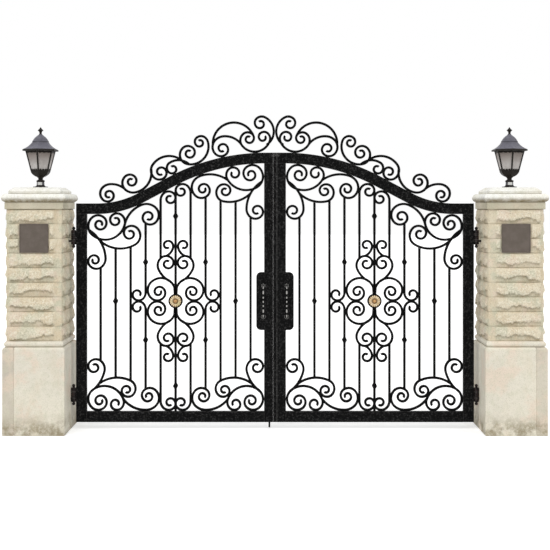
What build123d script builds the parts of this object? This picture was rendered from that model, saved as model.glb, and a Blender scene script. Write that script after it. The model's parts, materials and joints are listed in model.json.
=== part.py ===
from build123d import *
from dataclasses import dataclass
from math import acos, atan2, cos, degrees, hypot, radians, sin, sqrt
import os

os.makedirs("parts", exist_ok=True)

# A pair of wrought iron driveway gates between two stone pillars with lanterns.
#
# X runs along the gates, Y through them and Z up. The origin is on the ground, midway
# between the pillars. The left leaf and pillar (at -X) are drawn, and the right ones
# are their mirror images. Sizes are in millimetres.

# ---- Leaf frame ----------------------------------------------------------------------
clear_width = 1630       # between a leaf's two stiles
drawn_width = 1630       # clear width for which the scrolls' own sizes are given
side_height = 2010       # of the frame at its hinge side
rise = 467               # of the top rail from the hinge side to the middle
frame_width = 98         # face of the rails and of the hinge stile
frame_depth = 40         # of the frame tube, front to back
meeting_half = 100       # from the middle of the gates to the meeting stile's inner edge
meeting_bar_width = 36   # bar between the two meeting stiles, carried by the right leaf
running_gap = 2.5          # between that bar and the left meeting stile
ground_gap = 68          # under the bottom rail
rail_level = 190         # straight length of the top rail at the hinge side
rail_slope = 28          # degrees, where the top rail climbs straight
rail_sag_radius = 810    # of the top rail's hollow curve
rail_crown_level = 83    # straight length of the top rail beside the middle

# ---- Ironwork ------------------------------------------------------------------------
bar = 22                 # square iron of the pickets and the scrolls
pickets = 11
edge_space = 125         # from a stile to the centre of the nearest picket
knuckle_width = 47
knuckle_height = 52
centre_drop = 25         # of the rosette below the middle of its panel
quarter_shrink = 0.78    # how much tighter each quarter turn of a volute is
weld_gap = 0.3           # between a picket's end and the scroll that it is welded to
scroll_overlap = 5       # by which mirrored scrolls cross their common line
crook_play = 1           # from a crook's far side to the middle line of the next picket
crook_weld = 3           # by which the crooks beside the rosette sink into the next picket
rosette_diameter = 130
rosette_thickness = 9
rosette_boss = 34
boss_slope = 30          # degrees, of the boss's side
petals = 8
petal_root = 53          # from the rosette's centre to the notch between two petals

# ---- Hinges --------------------------------------------------------------------------
barrel_diameter = 42
barrel_side_gap = 4      # between a barrel and the hinge stile
pillar_side_gap = 5      # between a barrel and the plinth
barrel_height = 66
barrel_clearance = 1     # between the two barrels of a hinge
pin_diameter = 18
pin_clearance = 0.5
ball_diameter = 34       # of the ball that ends each half of a hinge
ball_neck = 18           # where the ball meets its barrel
upper_hinge_height = 1698    # above the frame's bottom edge
lower_hinge_height = 250
strap_thickness = 24
strap_margin = 12        # by which a strap is shorter than its barrel

# ---- Lock plates, pull handles and drop rod ------------------------------------------
plate_height = 530
plate_reach = 72         # past the meeting stile's inner edge
plate_thickness = 5
plate_corner = 42
plate_centre_height = 1112   # above the frame's bottom edge
handle_height = 330
handle_spacing = 107     # from the middle of the gates to a handle's centre
handle_stand_off = 62    # from the frame's face to the grip's axis
grip_diameter = 26
grip_waist = 18
grip_beads = 9
grip_sides = 8
mount_diameter = 48      # over the flower at the top and the horseshoe at the foot
mount_thickness = 8
flower_petals = 6
flower_petal_diameter = 18
horseshoe_width = 9
horseshoe_opening = 20
horseshoe_base_thickness = 3
stem_diameter = 18
rod_diameter = 17
rod_spacing = 52         # from the middle of the gates
rod_tip_height = 8       # above the ground, at rest
rod_length = 760
rod_clearance = 1
tab_width = 51           # of the finger tab on top of the rod
collar_diameter = 32
collar_height = 12
guide_low = 60           # centre of the lower guide, above the frame's bottom edge
guide_high = 520
guide_height = 30
guide_width = 44
guide_depth = 44
guide_reach = 24         # from the frame's back to the rod's axis

# ---- Pillars -------------------------------------------------------------------------
plinth_width = 558
plinth_height = 790
plinth_chamfer = 6
bead_width = 534         # half-round course on the plinth
bead_height = 56
shaft_width = 494
courses = 9
course_height = 131
course_bevel = 7
neck_width = 524
neck_height = 64
cap_width = 576          # over the half-round edge of the cap
cap_height = 76
slab_width = 472
slab_top_width = 384
slab_height = 58
slab_edge_height = 26    # the upright edge under the slab's bevel
plaque_width = 258
plaque_thickness = 12
plaque_corner = 6
plaque_chamfer = 3
plaque_border = 12
plaque_sink = 3          # of the bare field inside the border
plaque_centre_height = 1765

# ---- Lanterns ------------------------------------------------------------------------
lantern_sides = 6
foot_diameter = 137
foot_height = 14
drum_diameter = 71
drum_height = 52
throat_diameter = 40
throat_height = 26
bowl_height = 54
bowl_shoulder_height = 30    # above the bowl's foot
bowl_shoulder_width = 153
cage_bottom_width = 182  # across the corners
cage_top_width = 284
cage_height = 190
cage_band_height = 15    # of the rails above and below the panes
rib_reach = 9            # from the cage's corner to a pane, along one side
cage_thickness = 6
glass_thickness = 5
brim_width = 340
brim_foot_width = 328
brim_top_width = 314
brim_height = 16
roof_waist_height = 25       # above the brim
roof_waist_width = 219
roof_height = 72
shoulder_width = 146
dome_shoulder_height = 30    # above the roof's shoulder
dome_shoulder_width = 105
dome_neck_height = 53
dome_neck_width = 61
dome_height = 66
dome_top_width = 34
finial_stem_height = 17
finial_bulge_height = 33
finial_point_height = 51
finial_height = 68
finial_width = 52
finial_neck = 24
finial_tip = 6

# ---- Worked out from the sizes above -------------------------------------------------
frame_bottom = ground_gap
side_top = frame_bottom + side_height
crown_top = side_top + rise
panel_right = -meeting_half
panel_left = panel_right - clear_width
panel_middle = (panel_left + panel_right) / 2
hinge_edge = panel_left - frame_width
meeting_gap = (meeting_bar_width + running_gap) / 2
pivot_offset = barrel_diameter / 2 + barrel_side_gap
pillar_gap = barrel_diameter / 2 + pillar_side_gap
hinge_x = hinge_edge - pivot_offset
pillar_x = hinge_x - pillar_gap - plinth_width / 2
panel_bottom = frame_bottom + frame_width
pitch = (clear_width - 2 * edge_space) / (pickets - 1)
scale = clear_width / drawn_width     # the scrolls grow with the panel


# ---- The top rail's line -------------------------------------------------------------
# Hollow arc, straight climb and crown arc, between two level ends. `drop` is measured
# square to the rail, down from its top edge, so that each value gives a parallel line.

rail_start = hinge_edge + rail_level
rail_end = -rail_crown_level
slope = radians(rail_slope)
radii_sum = ((rail_end - rail_start) * sin(slope) - rise * cos(slope)) / (1 - cos(slope))
rail_crown_radius = radii_sum - rail_sag_radius
sag_centre = (rail_start, side_top + rail_sag_radius)
crown_centre = (rail_end, crown_top - rail_crown_radius)


def rail_points(drop):
    """Ends and tangent points of the rail's line at this drop, from the hinge side."""
    sag = rail_sag_radius + drop
    crown = rail_crown_radius - drop
    return (
        (hinge_edge, side_top - drop),
        (rail_start, side_top - drop),
        (sag_centre[0] + sag * sin(slope), sag_centre[1] - sag * cos(slope)),
        (crown_centre[0] - crown * sin(slope), crown_centre[1] + crown * cos(slope)),
        (rail_end, crown_top - drop),
        (-meeting_gap, crown_top - drop),
    )


def rail_height(x, drop):
    """Height of the rail's line at x."""
    points = rail_points(drop)
    if x < points[1][0]:
        return side_top - drop
    if x < points[2][0]:
        return sag_centre[1] - sqrt((rail_sag_radius + drop) ** 2 - (x - sag_centre[0]) ** 2)
    if x < points[3][0]:
        return points[2][1] + (x - points[2][0]) * sin(slope) / cos(slope)
    if x < points[4][0]:
        return crown_centre[1] + sqrt((rail_crown_radius - drop) ** 2 - (x - crown_centre[0]) ** 2)
    return crown_top - drop


# ---- Scrolls -------------------------------------------------------------------------
# A scroll's centre line is a chain of arcs, each tangent to the next. Arcs are kept as
# (centre x, centre z, radius, start angle, sweep), with angles in degrees.


@dataclass
class Volute:
    """A curl: its widest quarter faces `facing`, and each further quarter is tighter."""

    x: float
    z: float
    radius: float
    facing: float
    hand: int            # 1 winds inwards counterclockwise, -1 clockwise

    def lead(self):
        """Circle of the quarter that leads into the curl."""
        seam = radians(self.facing - 45 * self.hand)
        growth = self.radius / quarter_shrink - self.radius
        return (
            self.x - growth * cos(seam),
            self.z - growth * sin(seam),
            self.radius / quarter_shrink,
        )

    def lead_point(self, angle):
        """Point at this angle on the leading circle."""
        x, z, radius = self.lead()
        return (x + radius * cos(radians(angle)), z + radius * sin(radians(angle)))

    def arcs(self, start):
        """The curl's arcs, from the angle on its leading circle where it begins."""
        x, z, radius = self.lead()
        seam = self.facing - 45 * self.hand
        sweep = ((seam - start) * self.hand) % 360
        chain = [(x, z, radius, start, self.hand * sweep)]
        x, z, radius = self.x, self.z, self.radius
        while radius > bar:
            chain.append((x, z, radius, seam, 90 * self.hand))
            seam += 90 * self.hand
            tighter = radius * quarter_shrink
            x += (radius - tighter) * cos(radians(seam))
            z += (radius - tighter) * sin(radians(seam))
            radius = tighter
        return chain


def reversed_arcs(chain):
    return [(x, z, radius, start + sweep, -sweep) for x, z, radius, start, sweep in reversed(chain)]


def joining_circle(first, second, radius, side):
    """Circle that encloses and touches both circles; side 1 puts it left of first to second."""
    reach_first = radius - first[2]
    reach_second = radius - second[2]
    gap = hypot(second[0] - first[0], second[1] - first[1])
    along = (reach_first**2 - reach_second**2 + gap**2) / (2 * gap)
    across = side * sqrt(max(reach_first**2 - along**2, 0))
    ux = (second[0] - first[0]) / gap
    uz = (second[1] - first[1]) / gap
    return (first[0] + along * ux - across * uz, first[1] + along * uz + across * ux, radius)


def bearing(centre, point):
    return degrees(atan2(point[1] - centre[1], point[0] - centre[0]))


def kidney(left, right, radius, side):
    """Two curls joined by one long bow."""
    bow = joining_circle(left.lead(), right.lead(), radius, side)
    leave = bearing(bow, left.lead())
    arrive = bearing(bow, right.lead())
    sweep = -left.hand * (((arrive - leave) * -left.hand) % 360)
    return reversed_arcs(left.arcs(leave)) + [(*bow, leave, sweep)] + right.arcs(arrive)


def tailed(curl, tip, radius, side):
    """A curl whose tail is one bow that ends at `tip`."""
    bow = joining_circle(curl.lead(), (*tip, 0), radius, side)
    leave = bearing(bow, tip)
    arrive = bearing(bow, curl.lead())
    sweep = curl.hand * (((arrive - leave) * curl.hand) % 360)
    return [(*bow, leave, sweep)] + curl.arcs(arrive)


def bow_round(circle, tip, radius):
    """A clockwise bow that starts at `tip` and ends along a circle inside it."""
    bow = joining_circle(circle, (*tip, 0), radius, 1)
    leave = bearing(bow, tip)
    return [(*bow, leave, -((leave - bearing(bow, circle)) % 360))]


def point_on(chain, index, share):
    """Point on one arc of a chain, at this share of its sweep."""
    x, z, radius, start, sweep = chain[index]
    angle = radians(start + sweep * share)
    return (x + radius * cos(angle), z + radius * sin(angle))


def scroll_bar(chain, width=bar):
    """Adds the face of a bar that follows the chain to the sketch in hand."""
    with BuildLine() as outline:
        corners = []
        for offset in (-width / 2, width / 2):
            edges = []
            for x, z, radius, start, sweep in chain:
                side = offset if sweep > 0 else -offset
                edges.append(CenterArc((x, z), radius + side, start, sweep))
            corners.append((edges[0] @ 0, edges[-1] @ 1))
        Line(corners[0][0], corners[1][0])
        Line(corners[0][1], corners[1][1])
    make_face(outline.edges())


def crossings(chains, x):
    """Heights where the chains cross the upright line at x."""
    heights = []
    for cx, cz, radius, start, sweep in sum(chains, []):
        if abs(x - cx) < radius:
            angle = degrees(acos((x - cx) / radius))
            for candidate in (angle, -angle):
                turned = (candidate - start) * (1 if sweep > 0 else -1) % 360
                if turned <= abs(sweep):
                    heights.append(cz + radius * sin(radians(candidate)))
    return heights


def across(distance):
    """X of a point this far towards the middle of the gates from the panel's middle."""
    return panel_middle + distance * scale


def on_crest(x):
    """Height of a bar's centre line where it lies on the top rail."""
    return rail_height(x, -bar / 2)


def below_rail(x):
    """Height of a bar's centre line where it lies under the top rail."""
    return rail_height(x, frame_width + bar / 2)


def on_bottom_rail(x):
    """Height of a bar's centre line where it lies on the bottom rail."""
    return panel_bottom + bar / 2


arc_samples = 120        # points along an arc where its height is measured
seat_rounds = 5          # corrections that bring a chain onto its line


def clearance(chain, line, side):
    """Least height of a chain above a line, or below it when side is -1."""
    gaps = []
    for x, z, radius, start, sweep in chain:
        for step in range(arc_samples + 1):
            angle = radians(start + sweep * step / arc_samples)
            height = z + radius * sin(angle)
            gaps.append(side * (height - line(x + radius * cos(angle))))
    return min(gaps)


def seated(build, curls, line, side):
    """Moves curls up or down until their chain just meets the line; side 1 is above it."""
    for turn in range(seat_rounds):
        gap = clearance(build(), line, side) - weld_gap
        for curl in curls:
            curl.z -= side * gap
    return build()


def hung(x, radius, facing, hand):
    """A curl raised until it meets the underside of the top rail."""
    curl = Volute(x, side_top, radius, facing, hand)
    seated(lambda: curl.arcs(90 - 90 * hand), (curl,), below_rail, -1)
    return curl


# Reach of a curl beyond its centre: on the side of its leading arc, and of its second quarter
lead_reach = 1 / quarter_shrink - (1 / quarter_shrink - 1) * sqrt(0.5)
next_reach = quarter_shrink + (1 - quarter_shrink) * sqrt(0.5)

# Top of the panel, from the hinge side
top_a_radius = 83 * scale
top_a = hung(panel_left + bar / 2 + lead_reach * top_a_radius, top_a_radius, 90, -1)
top_b = hung(across(-539), 68 * scale, 90, 1)
top_hinge_kidney = kidney(top_a, top_b, 184 * scale, 1)

top_c = Volute(0, side_top - 523, 79 * scale, -90, -1)
top_c.x = panel_left + bar / 2 + next_reach * top_c.radius
top_hinge_tail = tailed(top_c, top_a.lead_point(200), 322 * scale, 1)

top_d = Volute(across(-406), rail_height(across(-406), 0) - 346, 75 * scale, 90, 1)
top_hinge_sweep = tailed(top_d, point_on(top_hinge_tail, 0, 0.45), 276 * scale, -1)

top_e = hung(across(-249), 94 * scale, 0, -1)
top_hinge_comma = seated(
    lambda: tailed(top_e, top_b.lead_point(-13), 250 * scale, 1), (top_e,), below_rail, -1
)

top_f = hung(across(530), 59 * scale, 90, -1)
top_g_radius = 89 * scale
top_g = hung(panel_right - bar / 2 - lead_reach * top_g_radius, top_g_radius, 90, 1)
top_middle_kidney = kidney(top_f, top_g, 200 * scale, 1)

top_h = Volute(0, crown_top - 533, 75 * scale, -90, 1)
top_h.x = panel_right - bar / 2 - next_reach * top_h.radius
top_middle_tail = tailed(top_h, top_g.lead_point(-23), 300 * scale, -1)

top_i = Volute(across(444), rail_height(across(444), 0) - 315, 64 * scale, 90, -1)
top_middle_sweep = tailed(top_i, point_on(top_middle_tail, 0, 0.5), 276 * scale, 1)

top_j = hung(across(254), 105 * scale, 180, 1)
top_middle_comma = seated(
    lambda: tailed(top_j, top_f.lead_point(221), 276 * scale, -1), (top_j,), below_rail, -1
)

top_scrolls = [
    top_hinge_kidney,
    top_hinge_tail,
    top_hinge_sweep,
    top_hinge_comma,
    top_middle_kidney,
    top_middle_tail,
    top_middle_sweep,
    top_middle_comma,
]

# Bottom of the panel, hinge half: the other half is its mirror image
low_a = Volute(0, 0, 84 * scale, -90, 1)
low_a.x = panel_left + bar / 2 + lead_reach * low_a.radius
low_a.z = panel_bottom + bar / 2 + low_a.radius
low_b = Volute(across(-540), 0, 59 * scale, -90, -1)
low_b.z = panel_bottom + bar / 2 + low_b.radius
bottom_kidney = kidney(low_a, low_b, 184 * scale, -1)

low_c = Volute(0, panel_bottom + 403 * scale, 75 * scale, 90, 1)
low_c.x = panel_left + bar / 2 + next_reach * low_c.radius
bottom_tail = tailed(low_c, low_a.lead_point(140), 322 * scale, -1)

low_d = Volute(across(-437), panel_bottom + 195 * scale, 63 * scale, -90, -1)
bottom_sweep = tailed(low_d, point_on(bottom_tail, 0, 0.4), 276 * scale, 1)

low_e = Volute(across(-253), 0, 100 * scale, 0, 1)
bottom_comma = seated(
    lambda: tailed(low_e, low_b.lead_point(27), 250 * scale, -1), (low_e,), on_bottom_rail, 1
)

bottom_half = [bottom_kidney, bottom_tail, bottom_sweep, bottom_comma]

# Middle of the panel: one quarter, above and on the hinge side of the rosette
centre_z = (panel_bottom + rail_height(panel_middle, frame_width)) / 2 - centre_drop
big = Volute(across(-154), 0, 102 * scale, 180, 1)
big.z = centre_z + scroll_overlap + next_reach * big.radius
centre_big = big.arcs(20)
heart = Volute(across(-87), centre_z + 342 * scale, 72 * scale, 90, -1)
centre_heart = tailed(heart, big.lead_point(50), 230 * scale, 1)
small = Volute(0, centre_z + 511 * scale, 42 * scale, 90, 1)
small.x = panel_middle - bar - weld_gap - lead_reach * small.radius
heart_top = (heart.x, heart.z + heart.radius)
centre_small = tailed(small, heart_top, 110 * scale, -1)
centre_quarter = [centre_big, centre_heart, centre_small]

# Crest on the top rail, from the middle of the leaf outwards and then inwards
crest_a = Volute(across(113), 0, 68 * scale, 90, -1)
crest_b = Volute(across(234), 98 * scale, 61 * scale, 90, 1)
crest_kidney = seated(
    lambda: kidney(crest_a, crest_b, 165 * scale, 1), (crest_a, crest_b), on_crest, 1
)

crest_c = Volute(across(663), 0, 62 * scale, 90, -1)
crest_d = Volute(across(814), 14 * scale, 52 * scale, 90, 1)
crown_kidney = seated(
    lambda: kidney(crest_c, crest_d, 147 * scale, 1), (crest_c, crest_d), on_crest, 1
)

crest_e = Volute(across(-150), 0, 71 * scale, -90, 1)
crest_e.z = rail_height(crest_e.x, -bar / 2 - crest_e.radius)
crest_hook = tailed(crest_e, crest_a.lead_point(215), 184 * scale, -1)

crest_f = Volute(across(-408), side_top + 180 * scale, 82 * scale, 180, -1)
crest_comma = seated(
    lambda: tailed(crest_f, crest_e.lead_point(171), 184 * scale, 1), (crest_f,), on_crest, 1
)

crest_g = Volute(across(-615), side_top + 80 * scale, 79 * scale, 180, 1)
crest_end = seated(
    lambda: tailed(crest_g, crest_f.lead_point(221), 184 * scale, -1), (crest_g,), on_crest, 1
)

crest_h = Volute(across(-34), 0, 43 * scale, -90, 1)
crest_h.z = rail_height(crest_h.x, -bar / 2 - crest_h.radius)
kidney_bow = len(crest_a.arcs(180))
crest_small = tailed(crest_h, point_on(crest_kidney, kidney_bow, 0.04), 150 * scale, -1)

crest_i = Volute(across(431), crown_top, 91 * scale, 180, 1)
crest_rise = seated(
    lambda: tailed(crest_i, crest_c.lead_point(208), 184 * scale, -1), (crest_i,), on_crest, 1
)

crest_j = Volute(across(782), crest_d.z + 136 * scale, 53 * scale, 180, 1)
crest_arch = bow_round(crest_c.arcs(0)[2][:3], crest_i.lead_point(156), 194 * scale)
crown_end = tailed(crest_j, crest_d.lead_point(-60), 147 * scale, -1)

crest_scrolls = [
    crest_end,
    crest_comma,
    crest_hook,
    crest_small,
    crest_kidney,
    crest_rise,
    crown_kidney,
    crown_end,
    crest_arch,
]

# Crooks that end the pickets reach to the next picket
crook_radius = (pitch - crook_play) / (lead_reach + next_reach)
mid_crook_radius = (pitch - bar + crook_weld) / (lead_reach + next_reach)


def picket_x(place):
    """X of a picket, by its place: 0 in the middle and positive towards the other leaf."""
    return panel_middle + place * pitch


def crook(place, z, radius, facing, side):
    """A curl at the end of a picket; side 1 puts it on the hinge side of the picket."""
    x = picket_x(place) - side * lead_reach * radius
    return Volute(x, z, radius, facing, side if facing == 90 else -side)


def hung_crook(place, side):
    curl = crook(place, 0, crook_radius, 90, side)
    curl.z = rail_height(curl.x, frame_width + bar / 2 + crook_radius)
    return curl


foot_crook_z = panel_bottom + bar / 2 + crook_radius
mid_crook_z = centre_z + scroll_overlap + mid_crook_radius
top_crooks = [hung_crook(-1, -1), hung_crook(1, 1)]
foot_crooks = [crook(place, foot_crook_z, crook_radius, -90, place) for place in (-1, 1)]
mid_crook = crook(-2, mid_crook_z, mid_crook_radius, -90, 1)


# ---- Nodes ---------------------------------------------------------------------------


def write(part, name):
    part.label = name
    export_step(part, f"parts/{name}.step")


def write_pair(part, name):
    """Writes a left piece and the mirror image that stands on the right."""
    with BuildPart() as twin:
        mirror(part, about=Plane.YZ)
    write(part, f"left_{name}")
    write(twin.part, f"right_{name}")


def face_at(x_low, x_high, z_low, z_high):
    """Adds an upright rectangle between these limits to the sketch in hand."""
    with Locations(((x_low + x_high) / 2, (z_low + z_high) / 2)):
        Rectangle(x_high - x_low, z_high - z_low)


# ---- Pillars -------------------------------------------------------------------------

shaft_bottom = plinth_height + bead_height
shaft_height = courses * course_height
neck_bottom = shaft_bottom + shaft_height
cap_bottom = neck_bottom + neck_height
slab_bottom = cap_bottom + cap_height
pillar_top = slab_bottom + slab_height

with BuildPart() as plinth:
    with BuildSketch():
        with Locations((pillar_x, 0)):
            Rectangle(plinth_width, plinth_width)
    extrude(amount=plinth_height)
    chamfer(plinth.edges().group_by(Axis.Z)[-1], length=plinth_chamfer)


def moulded_course(width, bottom, height):
    """A square course whose four sides are half rounds as high as the course."""
    with BuildPart() as course:
        with BuildSketch(Plane.XZ.offset(-width / 2)):
            with Locations((pillar_x, bottom + height / 2)):
                SlotOverall(width, height)
        extrude(amount=width)
        with BuildSketch(Plane.YZ.offset(pillar_x - width / 2)):
            with Locations((0, bottom + height / 2)):
                SlotOverall(width, height)
        extrude(amount=width, mode=Mode.INTERSECT)
    return course.part


plinth_bead = moulded_course(bead_width, plinth_height, bead_height)
pillar_cap = moulded_course(cap_width, cap_bottom, cap_height)

# The shaft is a stack of courses with sunk joints
with BuildPart() as shaft:
    for course in range(courses):
        level = shaft_bottom + course * course_height
        with BuildSketch(Plane.XY.offset(level + course_bevel)):
            with Locations((pillar_x, 0)):
                Rectangle(shaft_width, shaft_width)
        extrude(amount=course_height - course_bevel)
        with BuildSketch(Plane.XY.offset(level)):
            with Locations((pillar_x, 0)):
                Rectangle(shaft_width - 2 * course_bevel, shaft_width - 2 * course_bevel)
        extrude(amount=course_bevel)

with BuildPart() as pillar_neck:
    with BuildSketch(Plane.XY.offset(neck_bottom)):
        with Locations((pillar_x, 0)):
            Rectangle(neck_width, neck_width)
    extrude(amount=neck_height)

slab_bevel_height = slab_height - slab_edge_height
slab_slope = degrees(atan2(slab_width - slab_top_width, 2 * slab_bevel_height))

with BuildPart() as cap_slab:
    with BuildSketch(Plane.XY.offset(slab_bottom)):
        with Locations((pillar_x, 0)):
            Rectangle(slab_width, slab_width)
    extrude(amount=slab_edge_height)
    with BuildSketch(Plane.XY.offset(slab_bottom + slab_edge_height)):
        with Locations((pillar_x, 0)):
            Rectangle(slab_width, slab_width)
    extrude(amount=slab_bevel_height, taper=slab_slope)

with BuildPart() as plaque:
    with BuildSketch(Plane.XZ.offset(shaft_width / 2)):
        with Locations((pillar_x, plaque_centre_height)):
            RectangleRounded(plaque_width, plaque_width, plaque_corner)
    extrude(amount=plaque_thickness)
    chamfer(plaque.faces().sort_by(Axis.Y)[0].edges(), length=plaque_chamfer)
    with BuildSketch(Plane.XZ.offset(shaft_width / 2 + plaque_thickness)):
        with Locations((pillar_x, plaque_centre_height)):
            Rectangle(plaque_width - 2 * plaque_border, plaque_width - 2 * plaque_border)
    extrude(amount=-plaque_sink, mode=Mode.SUBTRACT)

write_pair(plinth.part, "pillar_plinth")
write_pair(plinth_bead, "pillar_bead_course")
write_pair(shaft.part, "pillar_shaft")
write_pair(pillar_neck.part, "pillar_neck_course")
write_pair(pillar_cap, "pillar_cap")
write_pair(cap_slab.part, "pillar_cap_slab")
write_pair(plaque.part, "pillar_plaque")

# ---- Lanterns ------------------------------------------------------------------------

drum_bottom = pillar_top + foot_height
throat_bottom = drum_bottom + drum_height
bowl_bottom = throat_bottom + throat_height
cage_bottom = bowl_bottom + bowl_height
brim_bottom = cage_bottom + cage_height
roof_bottom = brim_bottom + brim_height
shoulder_level = roof_bottom + roof_height
dome_top = shoulder_level + dome_height


def frustum(wide_end, narrow_end, sides, x, y):
    """A flat-sided upright solid between two (height, width across the corners) sections."""
    (start, wide), (end, narrow) = wide_end, narrow_end
    inset = (wide - narrow) / 2 * cos(radians(180 / sides))
    base = Plane((x, y, start), x_dir=(1, 0, 0), z_dir=(0, 0, end - start))
    with BuildPart() as body:
        with BuildSketch(base):
            RegularPolygon(wide / 2, sides, rotation=90)
        extrude(amount=abs(end - start))
        if inset > 0:
            walls = body.faces().filter_by(Axis.Z, reverse=True)
            draft(walls, neutral_plane=base, angle=degrees(atan2(inset, abs(end - start))))
    return body.part


def tapered(sections, sides=lantern_sides, x=pillar_x, y=0):
    """A stack of frustums through (height, width across the corners) sections."""
    with BuildPart() as body:
        for pair in zip(sections, sections[1:]):
            wide_end, narrow_end = sorted(pair, key=lambda section: -section[1])
            add(frustum(wide_end, narrow_end, sides, x, y))
    return body.part


with BuildPart() as lantern_stand:
    with BuildSketch(Plane.XZ):
        with BuildLine():
            Polyline(
                (pillar_x, pillar_top),
                (pillar_x + foot_diameter / 2, pillar_top),
                (pillar_x + foot_diameter / 2, drum_bottom),
                (pillar_x + drum_diameter / 2, drum_bottom),
                (pillar_x + drum_diameter / 2, throat_bottom),
                (pillar_x + throat_diameter / 2, throat_bottom),
                (pillar_x + throat_diameter / 2, bowl_bottom),
                (pillar_x, bowl_bottom),
                close=True,
            )
        make_face()
    revolve(axis=Axis((pillar_x, 0, 0), (0, 0, 1)))

bowl_sections = (
    (bowl_bottom, drum_diameter),
    (bowl_bottom + bowl_shoulder_height, bowl_shoulder_width),
    (cage_bottom, cage_bottom_width),
)
lantern_bowl = tapered(bowl_sections)


def cage_body(inset):
    """The cage's tapered body, drawn in by this much at its corners."""
    return tapered(
        (
            (cage_bottom, cage_bottom_width - 2 * inset),
            (brim_bottom, cage_top_width - 2 * inset),
        )
    )


with BuildPart() as lantern_glass:
    add(cage_body(cage_thickness))
    add(cage_body(cage_thickness + glass_thickness), mode=Mode.SUBTRACT)

# The cage is corner ribs and two rails, left standing between one pane on each side
pane_bottom = cage_bottom + cage_band_height
pane_top = brim_bottom - cage_band_height
taper = (cage_top_width - cage_bottom_width) / 2 / cage_height
pane_bottom_half = (cage_bottom_width / 2 + taper * cage_band_height) / 2 - rib_reach
pane_top_half = (cage_top_width / 2 - taper * cage_band_height) / 2 - rib_reach

with BuildPart() as lantern_cage:
    add(cage_body(0))
    add(cage_body(cage_thickness), mode=Mode.SUBTRACT)
    for side in range(lantern_sides):
        turn = radians(360 / lantern_sides * side)
        outward = Plane(
            origin=(pillar_x, 0, 0),
            x_dir=(-sin(turn), cos(turn), 0),
            z_dir=(cos(turn), sin(turn), 0),
        )
        with BuildSketch(outward):
            with BuildLine():
                Polyline(
                    (-pane_bottom_half, pane_bottom),
                    (pane_bottom_half, pane_bottom),
                    (pane_top_half, pane_top),
                    (-pane_top_half, pane_top),
                    close=True,
                )
            make_face()
        extrude(amount=cage_top_width, mode=Mode.SUBTRACT)

lantern_roof = tapered(
    (
        (brim_bottom, brim_foot_width),
        (brim_bottom + brim_height / 2, brim_width),
        (roof_bottom, brim_top_width),
        (roof_bottom + roof_waist_height, roof_waist_width),
        (shoulder_level, shoulder_width),
        (shoulder_level + dome_shoulder_height, dome_shoulder_width),
        (shoulder_level + dome_neck_height, dome_neck_width),
        (dome_top, dome_top_width),
    )
)

lantern_finial = tapered(
    (
        (dome_top, finial_neck),
        (dome_top + finial_stem_height, finial_neck),
        (dome_top + finial_bulge_height, finial_width),
        (dome_top + finial_point_height, finial_neck),
        (dome_top + finial_height, finial_tip),
    )
)

write_pair(lantern_stand.part, "lantern_stand")
write_pair(lantern_bowl, "lantern_bowl")
write_pair(lantern_glass.part, "lantern_glass")
write_pair(lantern_cage.part, "lantern_cage")
write_pair(lantern_roof, "lantern_roof")
write_pair(lantern_finial, "lantern_finial")

# ---- Leaf frame ----------------------------------------------------------------------

half_depth = frame_depth / 2


def flat_bar(x_low, x_high, z_low, z_high):
    """A straight member of the frame, as deep as its tube."""
    with BuildPart() as member:
        with BuildSketch(Plane.XZ):
            face_at(x_low, x_high, z_low, z_high)
        extrude(amount=half_depth, both=True)
    return member.part


rail_under_side = side_top - frame_width
rail_under_crown = crown_top - frame_width
hinge_stile = flat_bar(hinge_edge, panel_left, frame_bottom, rail_under_side)
bottom_rail = flat_bar(panel_left, panel_right, frame_bottom, panel_bottom)
meeting_stile_top = rail_height(panel_right, frame_width)
meeting_stile = flat_bar(panel_right, -meeting_gap, frame_bottom, meeting_stile_top)

with BuildPart() as top_rail:
    with BuildSketch(Plane.XZ):
        with BuildLine():
            for drop in (0, frame_width):
                side_end, sag_low, sag_high, crown_low, crown_high, middle_end = rail_points(drop)
                Line(side_end, sag_low)
                CenterArc(sag_centre, rail_sag_radius + drop, -90, rail_slope)
                Line(sag_high, crown_low)
                CenterArc(crown_centre, rail_crown_radius - drop, 90 + rail_slope, -rail_slope)
                Line(crown_high, middle_end)
            Line((hinge_edge, side_top), (hinge_edge, rail_under_side))
            Line((-meeting_gap, crown_top), (-meeting_gap, rail_under_crown))
        make_face()
    extrude(amount=half_depth, both=True)

write_pair(hinge_stile, "leaf_hinge_stile")
write_pair(bottom_rail, "leaf_bottom_rail")
write_pair(meeting_stile, "leaf_meeting_stile")
write_pair(top_rail.part, "leaf_top_rail")

# The bar between the leaves is welded to the right one and clears the left one
meeting_bar = flat_bar(meeting_gap - meeting_bar_width, meeting_gap, frame_bottom, crown_top)
write(meeting_bar, "right_leaf_meeting_bar")

# ---- Scrolls -------------------------------------------------------------------------


def scroll_node(chains, mirrors):
    """Square bars along the chains, repeated about each mirror plane in turn."""
    with BuildPart() as node:
        with BuildSketch(Plane.XZ):
            for chain in chains:
                scroll_bar(chain)
        extrude(amount=bar / 2, both=True)
        for plane in mirrors:
            mirror(about=plane)
    return node.part


middle_upright = Plane.YZ.offset(panel_middle)
middle_level = Plane.XY.offset(centre_z)

write_pair(scroll_node(top_scrolls, ()), "leaf_top_scrolls")
write_pair(scroll_node(bottom_half, (middle_upright,)), "leaf_bottom_scrolls")
write_pair(scroll_node(centre_quarter, (middle_upright, middle_level)), "leaf_centre_scrolls")
write_pair(scroll_node(crest_scrolls, ()), "leaf_crest_scrolls")

# ---- Pickets -------------------------------------------------------------------------


def mirrored(chain, x):
    """The chain's mirror image in the upright line at x."""
    return [(2 * x - cx, z, radius, 180 - start, -sweep) for cx, z, radius, start, sweep in chain]


def flipped(chain, z):
    """The chain's mirror image in the level line at z."""
    return [(x, 2 * z - cz, radius, -start, -sweep) for x, cz, radius, start, sweep in chain]


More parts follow.
